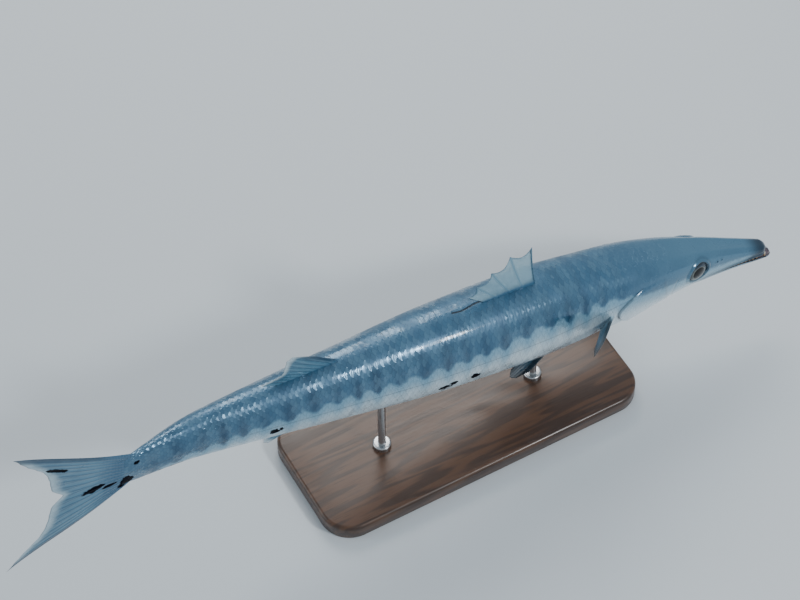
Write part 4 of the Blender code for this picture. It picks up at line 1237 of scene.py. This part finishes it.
for word, side in (("left", 1), ("right", -1)):
    stand_for(make_eye("eyeball_" + word, side), "eye", "eye_" + word)

# %% [markdown]
# ## The teeth
# Fangs stand near both tips and smaller teeth along the jaws, all like pointed blades that lean
# back. They are ivory, yellower at the root, and wet like the skin.

# %% Material: teeth
IVORY = tone(236, 228, 204)
IVORY_ROOT = tone(186, 160, 128)


def tooth_material():
    """From the root's tone to ivory along each tooth."""
    material, w, face = start_material("tooth_enamel")
    wet = use_group(w, WET_SKIN, Scale=900.0, Low=0.12, High=0.28)
    w.feed(face, {
        "Base Color": w.mix(w.smooth(w.attribute("reach"), 0.25, 0.75), IVORY_ROOT, IVORY),
        "Roughness": wet["Roughness"],
        "Normal": w.bump(wet["Height"], 0.2, 0.0002),
    })
    return material


TOOTH_PAINT = tooth_material()
print("material:", TOOTH_PAINT.name)

# %% [markdown]
# One formula makes every tooth of a row at once: the tooth's number is the first direction of the
# array, its height the second and its turn the third. Copies of one tooth would all be alike, and
# here each has a length of its own, and along the rows never more than the gape allows.

# %% Teeth
TOOTH_ROOT, TOOTH_RINGS, TOOTH_SIDES = 0.0045, 9, 10  # metres inside the jaw; grid of one tooth
TOOTH_LEAN, TOOTH_FLATNESS = 0.25, 0.7  # lean of the tip in lengths; thickness to width
SMALL_LENGTH, SMALL_RADIUS, GAPE_PART = 0.0036, 0.0010, 0.80
FANGS = {  # share, inset, length and radius
    "lower": ((0.0115, 0.0030, 0.0070, 0.0014),),
    "upper": ((0.0240, 0.0045, 0.0070, 0.0014), (0.0330, 0.0045, 0.0060, 0.0013)),
}
ROWS = {  # first share, last share, number of teeth and inset
    "lower": (0.024, 0.096, 13, 0.0030), "upper": (0.042, 0.098, 11, 0.0016),
}


def tooth_table(jaw):
    """Share, inset, length and radius of each tooth. Every second one is a little shorter."""
    first, last, count, inset = ROWS[jaw]
    shares = np.linspace(first, last, count)
    length = np.minimum(SMALL_LENGTH, GAPE_PART * jaw_drop(shares))
    length = length * np.where(np.arange(count) % 2, 0.8, 1.0)
    insets, radii = np.full(count, inset), np.full(count, SMALL_RADIUS)
    return np.concatenate([np.array(FANGS[jaw]), np.stack([shares, insets, length, radii], -1)])


def tooth_row(jaw, side):
    """Rings of flattened cones: the radius falls as (1 - h^1.5)^0.9 and the tip leans back by
    h^2. h is the height, 0 at the root and 1 at the tip."""
    table = tooth_table(jaw)
    share, inset, length, radius = (table[:, k][:, None, None] for k in range(4))
    lip = skin(table[:, 0], split_turn(table[:, 0]))
    drop = jaw_drop(table[:, 0]) if jaw == "lower" else 0 * table[:, 0]
    up = 1.0 if jaw == "lower" else -1.0
    h = np.linspace(0, 1, TOOTH_RINGS)[None, :, None]
    turn = circle(TOOTH_SIDES)[None, None, :]
    thin = radius * np.where(h > 0, (1 - h**1.5) ** 0.9, 0.0) * 1.15
    along = share * LENGTH + thin * np.cos(turn) + length * TOOTH_LEAN * h**2
    inward = np.maximum(lip[:, 1][:, None, None] - inset, radius)
    across = side * inward + TOOTH_FLATNESS * thin * np.sin(turn)
    grown = h * (length + TOOTH_ROOT) - TOOTH_ROOT
    height = (lip[:, 2] - drop)[:, None, None] + up * grown
    teeth = place(np.stack(np.broadcast_arrays(along, across, height), axis=-1))
    return [((tooth, True), {"reach": np.broadcast_to(h[0], tooth.shape[:2])}) for tooth in teeth]


rows = [tooth for jaw in ("lower", "upper") for side in (-1, 1) for tooth in tooth_row(jaw, side)]
teeth = sew("teeth", [grid for grid, _ in rows], TOOTH_PAINT, [fields for _, fields in rows],
            merge=1e-6)
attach(teeth, "root")

# %% [markdown]
# ## The fins
# A fin is a thin web on bony rays. Each ray starts below the skin and runs to the margin, so a
# point of the fin is found from its ray's number and its distance along it. The thickness is that
# of a ray, cut down between the rays, with a swelling at the root where flesh covers them.
# It sinks to nothing round the border, which closes the blade without a separate rim.

# %% Columns, ridges and thickness of a fin
SUNK = 0.006  # how far below the skin a ray starts
MARGIN_ROUND, ROOT_ROUND = 0.012, 0.02  # rounding of a blade's ends, as parts of a ray
ROOT_SWELL = 0.0010  # half thickness that the flesh adds at the root


def ray_columns(rays, per_web):
    """Even columns, numbered in rays, and two close ones inside each outer edge."""
    inner = np.linspace(0, rays - 1, (rays - 1) * per_web + 1)
    near = np.array([0.02, 0.07])
    return np.concatenate([[0.0], near, inner[1:-1], rays - 1 - near[::-1], [rays - 1.0]])


def blade_thickness(column, t, core, flesh, depth=(0.25, 0.60), sharp=2.5, edge_width=0.22):
    """Half thickness: a core that thins along the ray, cut down between the rays by 1 - cosine,
    and the flesh of the root on top."""
    ridge = (0.5 + 0.5 * np.cos(2 * math.pi * column)) ** sharp
    cut = (depth[0] + (depth[1] - depth[0]) * t) * (1 - ridge)
    half = (core[0] + (core[1] - core[0]) * t) * (1 - cut) + flesh
    edge = np.minimum(column, column.max() - column)
    return half * rounded(edge, edge_width) * rounded(1 - t, MARGIN_ROUND) * rounded(t, ROOT_ROUND)


def root_flesh(t, length, reach=0.009):
    """1 at the skin, falling with the distance out from it as exp(-(out / reach)^2)."""
    return bell(np.maximum(t * (length + SUNK) - SUNK, 0), 0.0, reach)


def blade(name, middle, sideways, half, paint, column, t, extra):
    """Both faces of the fin in one closed ring: out along the left face, back along the right."""
    left = place(middle + half[..., None] * sideways)
    right = place(middle - half[..., None] * sideways)
    grid = np.concatenate([left, right[:, ::-1]], axis=1)
    column, t = np.broadcast_arrays(column, t)
    fields = {"ray": column, "reach": t, "lead": column / column.max(), **extra}
    fields = {key: np.concatenate([value, value[:, ::-1]], axis=1) for key, value in fields.items()}
    return sew(name, [(grid, True)], paint, [fields])


print("columns of a ten-rayed fin:", len(ray_columns(10, 9)))

# %% [markdown]
# **Rays in the paint.** A soft ray splits in two on its way to the margin, and each half splits
# again. Folding does that: take the distance from the nearest ray, subtract a spread that grows
# along the ray and drop the sign, and one line has become two. Doing it twice gives four.


# %% Group: branching rays
def build_rays():
    """The folded distance is thresholded into a line. Joints cross it where the distance along
    the ray, times 46, has a fraction near 1."""
    group, w, given, out = new_group(
        "branching_rays",
        (("Ray", FLOAT, 0.0), ("Reach", FLOAT, 0.0), ("Split", FLOAT, 0.30),
         ("Spread", FLOAT, 0.27)),
        (("Line", FLOAT), ("Joint", FLOAT)),
    )
    ray, reach, split, spread = (given[name] for name in ("Ray", "Reach", "Split", "Spread"))
    nearest = w.math("ABSOLUTE", w.minus(w.math("FRACT", w.math("ADD", ray, 0.5)), 0.5))
    once = w.math("ABSOLUTE", w.minus(nearest, w.smooth(reach, split, 1.15, 0.0, spread)))
    again = w.smooth(reach, w.math("ADD", split, 0.28), 1.1, 0.0, w.times(spread, 0.45))
    line = w.smooth(w.math("ABSOLUTE", w.minus(once, again)), 0.10, 0.015)
    steps = w.math("FRACT", w.times(reach, 46.0, w.times(ray, 0.31)))
    w.feed(out, {"Line": line, "Joint": w.times(w.smooth(steps, 0.80, 0.95), line)})
    return group


RAYS = build_rays()
print("group:", RAYS.name)

# %% [markdown]
# **The fins' paint.** A fin is painted in layers, like the body: the web, the rays on it, a margin
# that wanders, the dark leading edge, and the body's colour where the root is fleshy. The five
# fins' finishes differ in their tones and in a few numbers, so one function makes them all.


# %% Material: fins
def tail_details(w, colour, relief, flesh, finish):
    """Scales over the thick root, with painted shadow behind each free edge, and spots of ink,
    as on the body. Gives colour and relief.
    """
    grid = w.attribute("scale_grid", "Vector")
    strength = w.split(grid)["Z"]
    scales = use_group(w, SCALES, Grid=grid)
    # painted shadow behind each scale's free edge, as on the body
    colour = w.mix(w.times(scales["EdgeShadow"], w.times(strength, 0.35)), colour, BACK_BAR)
    spots = {"Field": w.attribute("ink"), "Reach": 1.8, "Softness": 0.12, "Scale": 95.0}
    ink = use_group(w, RAGGED_EDGE, **spots)["Mask"]
    finish["Metallic"] = w.larger(w.times(flesh, SCALE_METAL), ink)
    finish["Roughness"] = w.larger(finish["Roughness"], w.times(ink, INK_ROUGHNESS))
    finish["Coat Weight"] = w.times(ink, -finish["Coat Weight"], finish["Coat Weight"])
    return w.mix(ink, colour, INK), w.times(scales["Height"], strength, relief)


def fin_material(name, web, line, edge, tip, root=None, lead=0.10, tip_from=0.80, spread=0.27,
                 tail=False, clear=0.0):
    """Web and rays in two tones, a dark leading edge, a margin of its own, and the root in the
    body's colour. The tail fin has two outer edges. clear lets light through the web."""
    material, w, face = start_material(name)
    reach, across, flesh = w.attribute("reach"), w.attribute("lead"), w.attribute("flesh")
    rays = use_group(w, RAYS, Ray=w.attribute("ray"), Reach=reach, Spread=spread)
    wet = use_group(w, WET_SKIN, Scale=260.0, Low=0.26, High=0.44)
    cloud = w.noise(w.place(), 45.0, 4.0, 0.6)

    # web and rays, the ragged margin, the leading edge, and the fleshy root
    colour = w.mix(w.times(rays["Line"], 0.75), web, line)
    colour = w.mix(w.smooth(cloud, 0.40, 0.75, 0.0, 0.35), colour, line)
    ragged = w.times(cloud, 0.16, w.minus(reach, 0.08))
    colour = w.mix(w.smooth(ragged, tip_from, 1.0, 0.0, 0.85), colour, tip)
    near = w.math("ABSOLUTE", w.times(across, 2.0, -1.0)) if tail else w.minus(1.0, across)
    rim = w.smooth(w.times(cloud, 0.04, near), 1.0 - lead, 1.02 - lead * 0.35)
    colour = w.mix(w.times(rim, 0.85), colour, edge)
    body = root or use_group(w, BACK_BLUE)["Color"]
    colour = w.mix(w.smooth(w.times(cloud, 0.5, flesh), 0.25, 1.15), colour, body)

    # relief: the rays fade under the flesh, and their joints are shallow nicks
    relief = w.times(rays["Line"], w.minus(1.0, w.times(flesh, 0.8)))
    relief = w.times(wet["Height"], 0.3, relief)
    relief = w.times(rays["Joint"], -0.15, relief)
    finish = {"Roughness": wet["Roughness"], "Coat Weight": 0.30, "Coat Roughness": 0.15}
    if tail:
        colour, relief = tail_details(w, colour, relief, flesh, finish)
    if clear:
        solid = w.larger(rays["Line"], w.larger(flesh, w.smooth(reach, 0.93, 1.0)))
        finish["Alpha"] = w.smooth(solid, 0.0, 0.8, 1.0 - clear, 1.0)
    w.feed(face, {"Base Color": colour, "Normal": w.bump(relief, 0.45, 0.0005), **finish})
    return material


FIN_DARK = tone(30, 62, 86)
TAIL_PAINT = fin_material(
    "tail_fin_skin", tone(86, 130, 156), tone(48, 90, 118), FIN_DARK, tone(186, 210, 222),
    lead=0.16, tip_from=0.84, tail=True)
SPINY_PAINT = fin_material(
    "spiny_fin_skin", tone(158, 194, 210), tone(92, 134, 156), tone(76, 116, 140),
    tone(76, 112, 134), lead=0.03, tip_from=0.93, spread=0.0, clear=0.35)
SOFT_PAINT = fin_material(
    "soft_fin_skin", tone(82, 126, 150), tone(44, 82, 108), FIN_DARK, tone(196, 216, 224),
    lead=0.12, tip_from=0.82)
BELLY_FIN_PAINT = fin_material(
    "belly_fin_skin", tone(104, 144, 166), tone(64, 102, 126), FIN_DARK, tone(206, 222, 230),
    FLANK, lead=0.12, tip_from=0.82)
PAIRED_PAINT = fin_material(
    "paired_fin_skin", tone(92, 130, 154), tone(50, 84, 108), tone(8, 18, 28), tone(14, 30, 44),
    tone(168, 196, 210), lead=0.42, tip_from=0.56)
FIN_PAINTS = (TAIL_PAINT, SPINY_PAINT, SOFT_PAINT, BELLY_FIN_PAINT, PAIRED_PAINT)
print("materials:", [paint.name for paint in FIN_PAINTS])

# %% [markdown]
# **The fins of the midline** come first. Their rays lean back more and more from front to rear. The
# first fin stands on five stiff spines and its web hangs between them, so its margin is deeply
# notched. The soft fins have ten close rays and an almost even margin.

# %% Fins of the midline
SPINE_LENGTHS, SPINE_LEANS = (0.091, 0.091, 0.077, 0.057, 0.036), (16, 25, 35, 46, 56)
SOFT_LENGTHS = np.array((0.048, 0.080, 0.077, 0.067, 0.057, 0.048, 0.042, 0.037, 0.035, 0.038))
SOFT_LEANS = (56, 57, 59, 61, 63, 65, 67, 69, 71, 74)
LEFTWARD = np.array([0.0, 1.0, 0.0])
MIDLINE_STEPS, MIDLINE_CORE = 46, (0.0014, 0.00035)  # half thickness at the root and the margin


def median_fin(name, start, base, lengths, leans, paint, below=False, notch=0.012, notch_power=1.0,
               sweep=-0.10, per_web=9, sharp=2.5, sway=0.0015, depth=(0.25, 0.60)):
    """Root on the ridge, direction from the lean, and a bow of t^2 - t that sweeps the ray. notch
    cuts the margin between two rays, and sway waves the blade to both sides."""
    rays = len(lengths)
    column = ray_columns(rays, per_web)[None, :]
    t = np.linspace(0, 1, MIDLINE_STEPS)[:, None] ** 0.9
    between = np.abs(np.sin(math.pi * column)) ** notch_power
    length = np.interp(column, range(rays), lengths) * (1 - notch * between) * LENGTH
    lean = np.radians(np.interp(column, range(rays), leans))
    shares = start + base * column / (rays - 1)
    back, belly, _, _ = outline(shares)
    up = -1.0 if below else 1.0
    root_level = (-belly if below else back) * LENGTH - up * SUNK
    reach = t * (length + SUNK)
    bow = sweep * (length + SUNK) * (t * t - t)
    x = shares * LENGTH + reach * np.sin(lean) + bow
    y = sway * np.sin(2.6 * column / (rays - 1) * math.pi + 0.6) * t**2
    z = root_level + up * reach * np.cos(lean)
    flesh = root_flesh(t, length)
    half = blade_thickness(column, t, MIDLINE_CORE, ROOT_SWELL * flesh, depth, sharp)
    middle = np.stack([x, y, z], axis=-1)
    return blade(name, middle, LEFTWARD, half, paint, column, t, {"flesh": flesh})


first = median_fin("spiny_back_fin", 0.396, 0.074, SPINE_LENGTHS, SPINE_LEANS, SPINY_PAINT,
                   notch=0.17, notch_power=0.8, sweep=-0.06, per_web=18, sharp=14.0, sway=0.0012,
                   depth=(0.55, 0.80))
second = median_fin("soft_back_fin", 0.684, 0.080, SOFT_LENGTHS, SOFT_LEANS, SOFT_PAINT)
anal = median_fin("belly_fin", 0.700, 0.076, 0.93 * SOFT_LENGTHS, SOFT_LEANS, BELLY_FIN_PAINT,
                  below=True)
stand_for(first, "fin_membrane", "first_dorsal_fin")
stand_for(second, "fin_membrane", "second_dorsal_fin")
stand_for(anal, "fin_membrane", "anal_fin")

# %% [markdown]
# **The tail fin** is one piece here. Its seventeen rays spread from the end of the tail's stem, and
# the outermost are the longest, which makes the deep fork. A curve through a few stations gives
# how far back the margin lies for each height. The two bulges beside the fork mark the species.

# %% Tail fin
TAIL_MARGIN = np.array((  # height in half spans, and the share at which the margin lies
    (0, 1.083), (0.15, 1.099), (0.33, 1.103), (0.50, 1.110), (0.78, 1.137), (1, 1.156),
))
TAIL_RAYS, TAIL_STEPS, TAIL_CORE = 17, 60, (0.0019, 0.0004)
TAIL_THINNING = 0.018  # width in metres of the bell that thins the root
TAIL_ROOT_SHARE, TAIL_ROOT_LEVEL, TAIL_HALF_SPAN = 0.988, 0.0265, 0.129
TAIL_INK = (  # across, along, and the reach each way
    (-0.13, 0.51, 0.085, 0.125), (-0.24, 0.29, 0.060, 0.085), (-0.50, 0.10, 0.340, 0.085),
    (0.58, 0.84, 0.055, 0.11),
)


def make_tail_fin():
    """Straight lines from root to margin. across runs from -1 on the lower edge to 1 above. Where
    a ray leaves the body it is as thick as the body, and then half a bell thins it."""
    column = ray_columns(TAIL_RAYS, 8)[None, :]
    t = np.linspace(0, 1, TAIL_STEPS)[:, None]
    across = column / (TAIL_RAYS - 1) * 2 - 1
    part = np.abs(across)
    scallop = 1 - 0.006 * np.abs(np.sin(math.pi * column)) * (part < 0.97)
    end = (through(TAIL_MARGIN[:, 0], TAIL_MARGIN[:, 1], part) - 1) * scallop + 1
    root = TAIL_ROOT_SHARE - 0.006 * part
    share = root + (end - root) * t
    grown = (TAIL_HALF_SPAN - TAIL_ROOT_LEVEL) * across
    level = TAIL_ROOT_LEVEL * across + grown * t
    y = 0.0022 * np.sin(across * 4.0 + 0.8) * t**2
    leaving = TAIL_ROOT_LEVEL * across + grown * (1 - root) / (end - root)
    stem_turn = level_turn(np.ones(leaving.shape), leaving)
    stem_half = skin(np.ones(leaving.shape), stem_turn)[..., 1]
    flesh = bell(np.maximum(share - 1, 0) * LENGTH, 0.0, TAIL_THINNING)
    swell = np.maximum(0.985 * stem_half - 0.0019, 0.0006) * flesh
    half = blade_thickness(column, t, TAIL_CORE, swell, edge_width=0.8)
    row = np.broadcast_to(scale_rows(stem_turn), share.shape)
    strength = 1 - ramp(0.0, 0.050, share - 1)
    fields = {"ink": ink_field(TAIL_INK, across, t), "flesh": 1 - ramp(0.0, 0.055, share - 1),
              "scale_grid": np.stack([share / SCALE_STEP, row, strength], axis=-1)}
    middle = np.stack(np.broadcast_arrays(share, y / LENGTH, level), axis=-1) * LENGTH
    return blade("tail_fin", middle, LEFTWARD, half, TAIL_PAINT, column, t, fields)


stand_for(make_tail_fin(), "fin_membrane", "caudal_fin_upper", "caudal_fin_lower")

# %% [markdown]
# **The paired fins.** The breast fins sit behind the gill covers and the smaller belly fins below
# them. Each root runs slantwise down the flank. From there the rays fan out in the plane of two
# directions, one pointing back and away from the body and one along the root, and a slight cup
# bends the blade. The right breast fin stands out further, as in the photograph.

# %% Breast and belly fins
BREAST_LENGTHS = (0.100, 0.112, 0.109, 0.102, 0.094, 0.085, 0.076, 0.067, 0.058, 0.050)
PELVIC_LENGTHS = (0.060, 0.074, 0.071, 0.064, 0.055, 0.045)
BREAST_ROOT = (0.284, -0.012, 0.026, 72)  # share, level, length, and lean in degrees
PELVIC_ROOT = (0.368, -0.060, 0.020, 20)
BREAST_SPREAD = {"left": (16, 26), "right": (38, -14)}  # degrees out from the flank, and down
PELVIC_SPREAD = (13, 7)
PAIRED_STEPS, PAIRED_CORE, PAIRED_FLESH = 44, (0.0016, 0.00035), 0.016


def paired_fin(name, side, root, spread, lengths, fan, rays):
    """Rays fan by an even angle about the middle one, within the plane of ahead and chord."""
    column = ray_columns(rays, 8)
    across = column / (rays - 1)
    share, level, root_length, lean = root
    lean, out, droop = np.radians((lean, *spread))
    shares = share + root_length * (across - 0.5) * math.cos(lean)
    levels = level - root_length * (across - 0.5) * math.sin(lean)
    turns = side * level_turn(shares, levels)
    surface = skin(shares, turns)
    ahead = np.array([math.cos(out) * math.cos(droop), side * math.sin(out) * math.cos(droop),
                      -math.sin(droop)])
    down = np.array([math.cos(lean), 0.0, -math.sin(lean)])
    chord = down - ahead * (down @ ahead)
    chord /= np.linalg.norm(chord)
    angle = np.radians(fan) * (across - 0.5)
    direction = ahead * np.cos(angle)[:, None] + chord * np.sin(angle)[:, None]
    normal = np.cross(ahead, chord)
    length = np.interp(across, np.linspace(0, 1, len(lengths)), lengths) * LENGTH
    length = length * (1 - 0.008 * np.abs(np.sin(math.pi * column))) * 0.992
    roots = surface - skin_normal(shares, turns) * SUNK
    tips = surface + direction * length[:, None]
    t = np.linspace(0, 1, PAIRED_STEPS)[:, None]
    cup = 0.05 * length[None, :] * (t * t - t) + 0.0016 * np.sin(5.0 * across + 0.7)[None, :] * t**2
    middle = roots + (tips - roots) * t[..., None] + cup[..., None] * normal
    flesh = root_flesh(t, length[None, :], PAIRED_FLESH)
    half = blade_thickness(column[None, :], t, PAIRED_CORE, ROOT_SWELL * flesh, (0.04, 0.50))
    return blade(name, middle, normal, half, PAIRED_PAINT, column[None, :], t, {"flesh": flesh})


for word, side in (("left", 1), ("right", -1)):
    breast = paired_fin("breast_fin_" + word, side, BREAST_ROOT, BREAST_SPREAD[word],
                        BREAST_LENGTHS, 22, 14)
    pelvic = paired_fin("pelvic_blade_" + word, side, PELVIC_ROOT, PELVIC_SPREAD,
                        PELVIC_LENGTHS, 30, 6)
    stand_for(breast, "fin_membrane", "pectoral_fin_" + word)
    stand_for(pelvic, "fin_membrane", "pelvic_fin_" + word)

# %% [markdown]
# ## The stand
# A plain dark board with eased edges carries two steel rods. The grain of the wood is a set of
# rings seen from the side: a noise is stretched along the board and read through a sine.

# %% Material: wood
WALNUT, WALNUT_BAND, WALNUT_PORE = tone(84, 58, 41), tone(60, 41, 30), tone(30, 20, 15)


def wood_material():
    """Bands from the sine of a stretched noise, and pores from a finer one, stretched more."""
    material, w, face = start_material("stand_walnut")
    rings = w.noise(w.place((1.6, 16.0, 16.0)), 1.6, 3.0, 0.5)
    pores = w.noise(w.place((12.0, 420.0, 420.0)), 2.0, 3.0, 0.6)
    bands = w.smooth(w.math("SINE", w.times(rings, 58.0)), -1.0, 1.0)
    colour = w.mix(bands, WALNUT, WALNUT_BAND)
    w.feed(face, {
        "Base Color": w.mix(w.smooth(pores, 0.58, 0.70, 0.0, 0.7), colour, WALNUT_PORE),
        "Roughness": w.smooth(pores, 0.3, 0.7, 0.34, 0.52),
        "Normal": w.bump(pores, 0.25, 0.0003),
        "Coat Weight": 0.35, "Coat Roughness": 0.18,
    })
    return material


WOOD_PAINT = wood_material()
print("material:", WOOD_PAINT.name)

# %% [markdown]
# The rods are brushed along their length, so the finest lines run upwards. They are a noise that
# changes fast across the rod and slowly along it.

# %% Material: steel
STEEL, STEEL_LINE = tone(184, 188, 192), tone(204, 206, 208)


def steel_material():
    """One stretched noise leads the colour, the roughness and a very low relief."""
    material, w, face = start_material("rod_steel")
    lines = w.noise(w.place((1400.0, 1400.0, 24.0)), 1.0, 3.0, 0.6)
    w.feed(face, {
        "Base Color": w.mix(lines, STEEL, STEEL_LINE),
        "Roughness": w.smooth(lines, 0.3, 0.7, 0.22, 0.34),
        "Normal": w.bump(lines, 0.06, 0.0001),
        "Metallic": 1.0,
    })
    return material


STEEL_PAINT = steel_material()
print("material:", STEEL_PAINT.name)

# %% [markdown]
# The board is one outline, a rectangle with rounded corners, stacked at a few heights. Near the
# top the outline draws in along a quarter circle. Each rod and its collar is a profile turned
# about the rod's line; it ends inside the belly, so the joint is hidden.

# %% Board and rods
BASE_LENGTH, BASE_WIDTH, BASE_THICKNESS, BASE_CORNER = 0.460, 0.190, 0.022, 0.040
BASE_CENTRE, BASE_EASE = (0.0849, 0.0103), 0.005
BASE_CAP = 0.039  # inset of the last ring of a flat face, whose middle is filled
ROD_SHARES = (0.365, 0.610)
ROD_RADIUS, ROD_SUNK, ROD_SIDES = 0.0050, 0.010, 64  # it ends ROD_SUNK above the belly's skin
COLLAR_RADIUS, COLLAR_HEIGHT, COLLAR_EASE = 0.0120, 0.0070, 0.0025


def make_board():
    """Corner circles joined by straight sides; near the top BASE_EASE times 1 - cos smaller."""
    arc = np.linspace(0, math.pi / 2, 17)
    quarter = np.array([0, 1, 2, 3])[:, None] * math.pi / 2 + arc[None, :]
    signs = np.array([(1, 1), (-1, 1), (-1, -1), (1, -1)])
    half = np.array([BASE_LENGTH, BASE_WIDTH]) / 2 - BASE_CORNER
    centre = np.repeat(signs * half, len(arc), axis=0)
    spoke = np.stack([np.cos(quarter), np.sin(quarter)], axis=-1).reshape(-1, 2)
    ease = np.linspace(0, math.pi / 2, 10)
    top = BASE_THICKNESS - BASE_EASE * (1 - np.sin(ease))
    z = np.concatenate([[0, 0, 0.0006, 0.0015], top, [BASE_THICKNESS]])
    drawn_in = BASE_EASE * (1 - np.cos(ease))
    inset = np.concatenate([[BASE_CAP, 0.0015, 0.0005, 0.0], drawn_in, [BASE_CAP]])
    reach = BASE_CORNER - inset[:, None, None]
    flat = centre[None] + spoke[None] * reach + np.array(BASE_CENTRE)
    heights = np.broadcast_to(z[:, None, None], flat.shape[:2] + (1,))
    return sew("display_board", [(np.concatenate([flat, heights], axis=-1), True)], WOOD_PAINT,
               crease=50)


def make_rod(name, share):
    """Radius against height, turned about the upright line below the belly."""
    foot = place(np.array([share, 0.0, -float(outline(share)[1])]) * LENGTH)
    low, collar, end = BASE_THICKNESS, BASE_THICKNESS + COLLAR_HEIGHT, foot[2] + ROD_SUNK
    soft = np.linspace(0, math.pi / 2, 7)
    radius = np.concatenate([[0.0, COLLAR_RADIUS], COLLAR_RADIUS - COLLAR_EASE * (1 - np.cos(soft)),
                             [ROD_RADIUS + 0.0004, ROD_RADIUS, ROD_RADIUS, 0.0]])[:, None]
    z = np.concatenate([[low, low], collar - COLLAR_EASE * (1 - np.sin(soft)),
                        [collar, collar + 0.0006, end, end]])[:, None]
    turn = circle(ROD_SIDES)
    ring = (foot[0] + radius * np.cos(turn), foot[1] + radius * np.sin(turn), z)
    points = np.stack(np.broadcast_arrays(*ring), axis=-1)
    return sew(name, [(points, True)], STEEL_PAINT, crease=40)


stand_for(make_board(), "stand_wood", "stand_base")
for number, share in enumerate(ROD_SHARES, start=1):
    stand_for(make_rod(f"display_rod_{number}", share), "stand_steel", f"stand_rod_{number}")

# %% [markdown]
# ## The floor
# A plain pale floor takes the soft shadow. It belongs to the picture and not to the model.
# A faint noise in its roughness keeps it from looking like paper.

# %% Floor
FLOOR_HALF = 8.0


def make_floor():
    """One square face with a finish of its own."""
    corners = [(x * FLOOR_HALF, y * FLOOR_HALF, 0) for x, y in ((-1, -1), (1, -1), (1, 1), (-1, 1))]
    mesh = bpy.data.meshes.new("studio_floor")
    mesh.from_pydata(corners, [], [(0, 1, 2, 3)])
    floor = bpy.data.objects.new("studio_floor", mesh)
    scene.collection.objects.link(floor)
    material, w, face = start_material("studio_floor")
    haze = w.noise(w.place(), 3.0, 2.0, 0.5)
    w.feed(face, {
        "Base Color": w.mix(haze, tone(206, 214, 220), tone(212, 219, 224)),
        "Roughness": w.smooth(haze, 0.3, 0.7, 0.75, 0.9),
    })
    mesh.materials.append(material)
    return floor


print("floor:", make_floor().name)
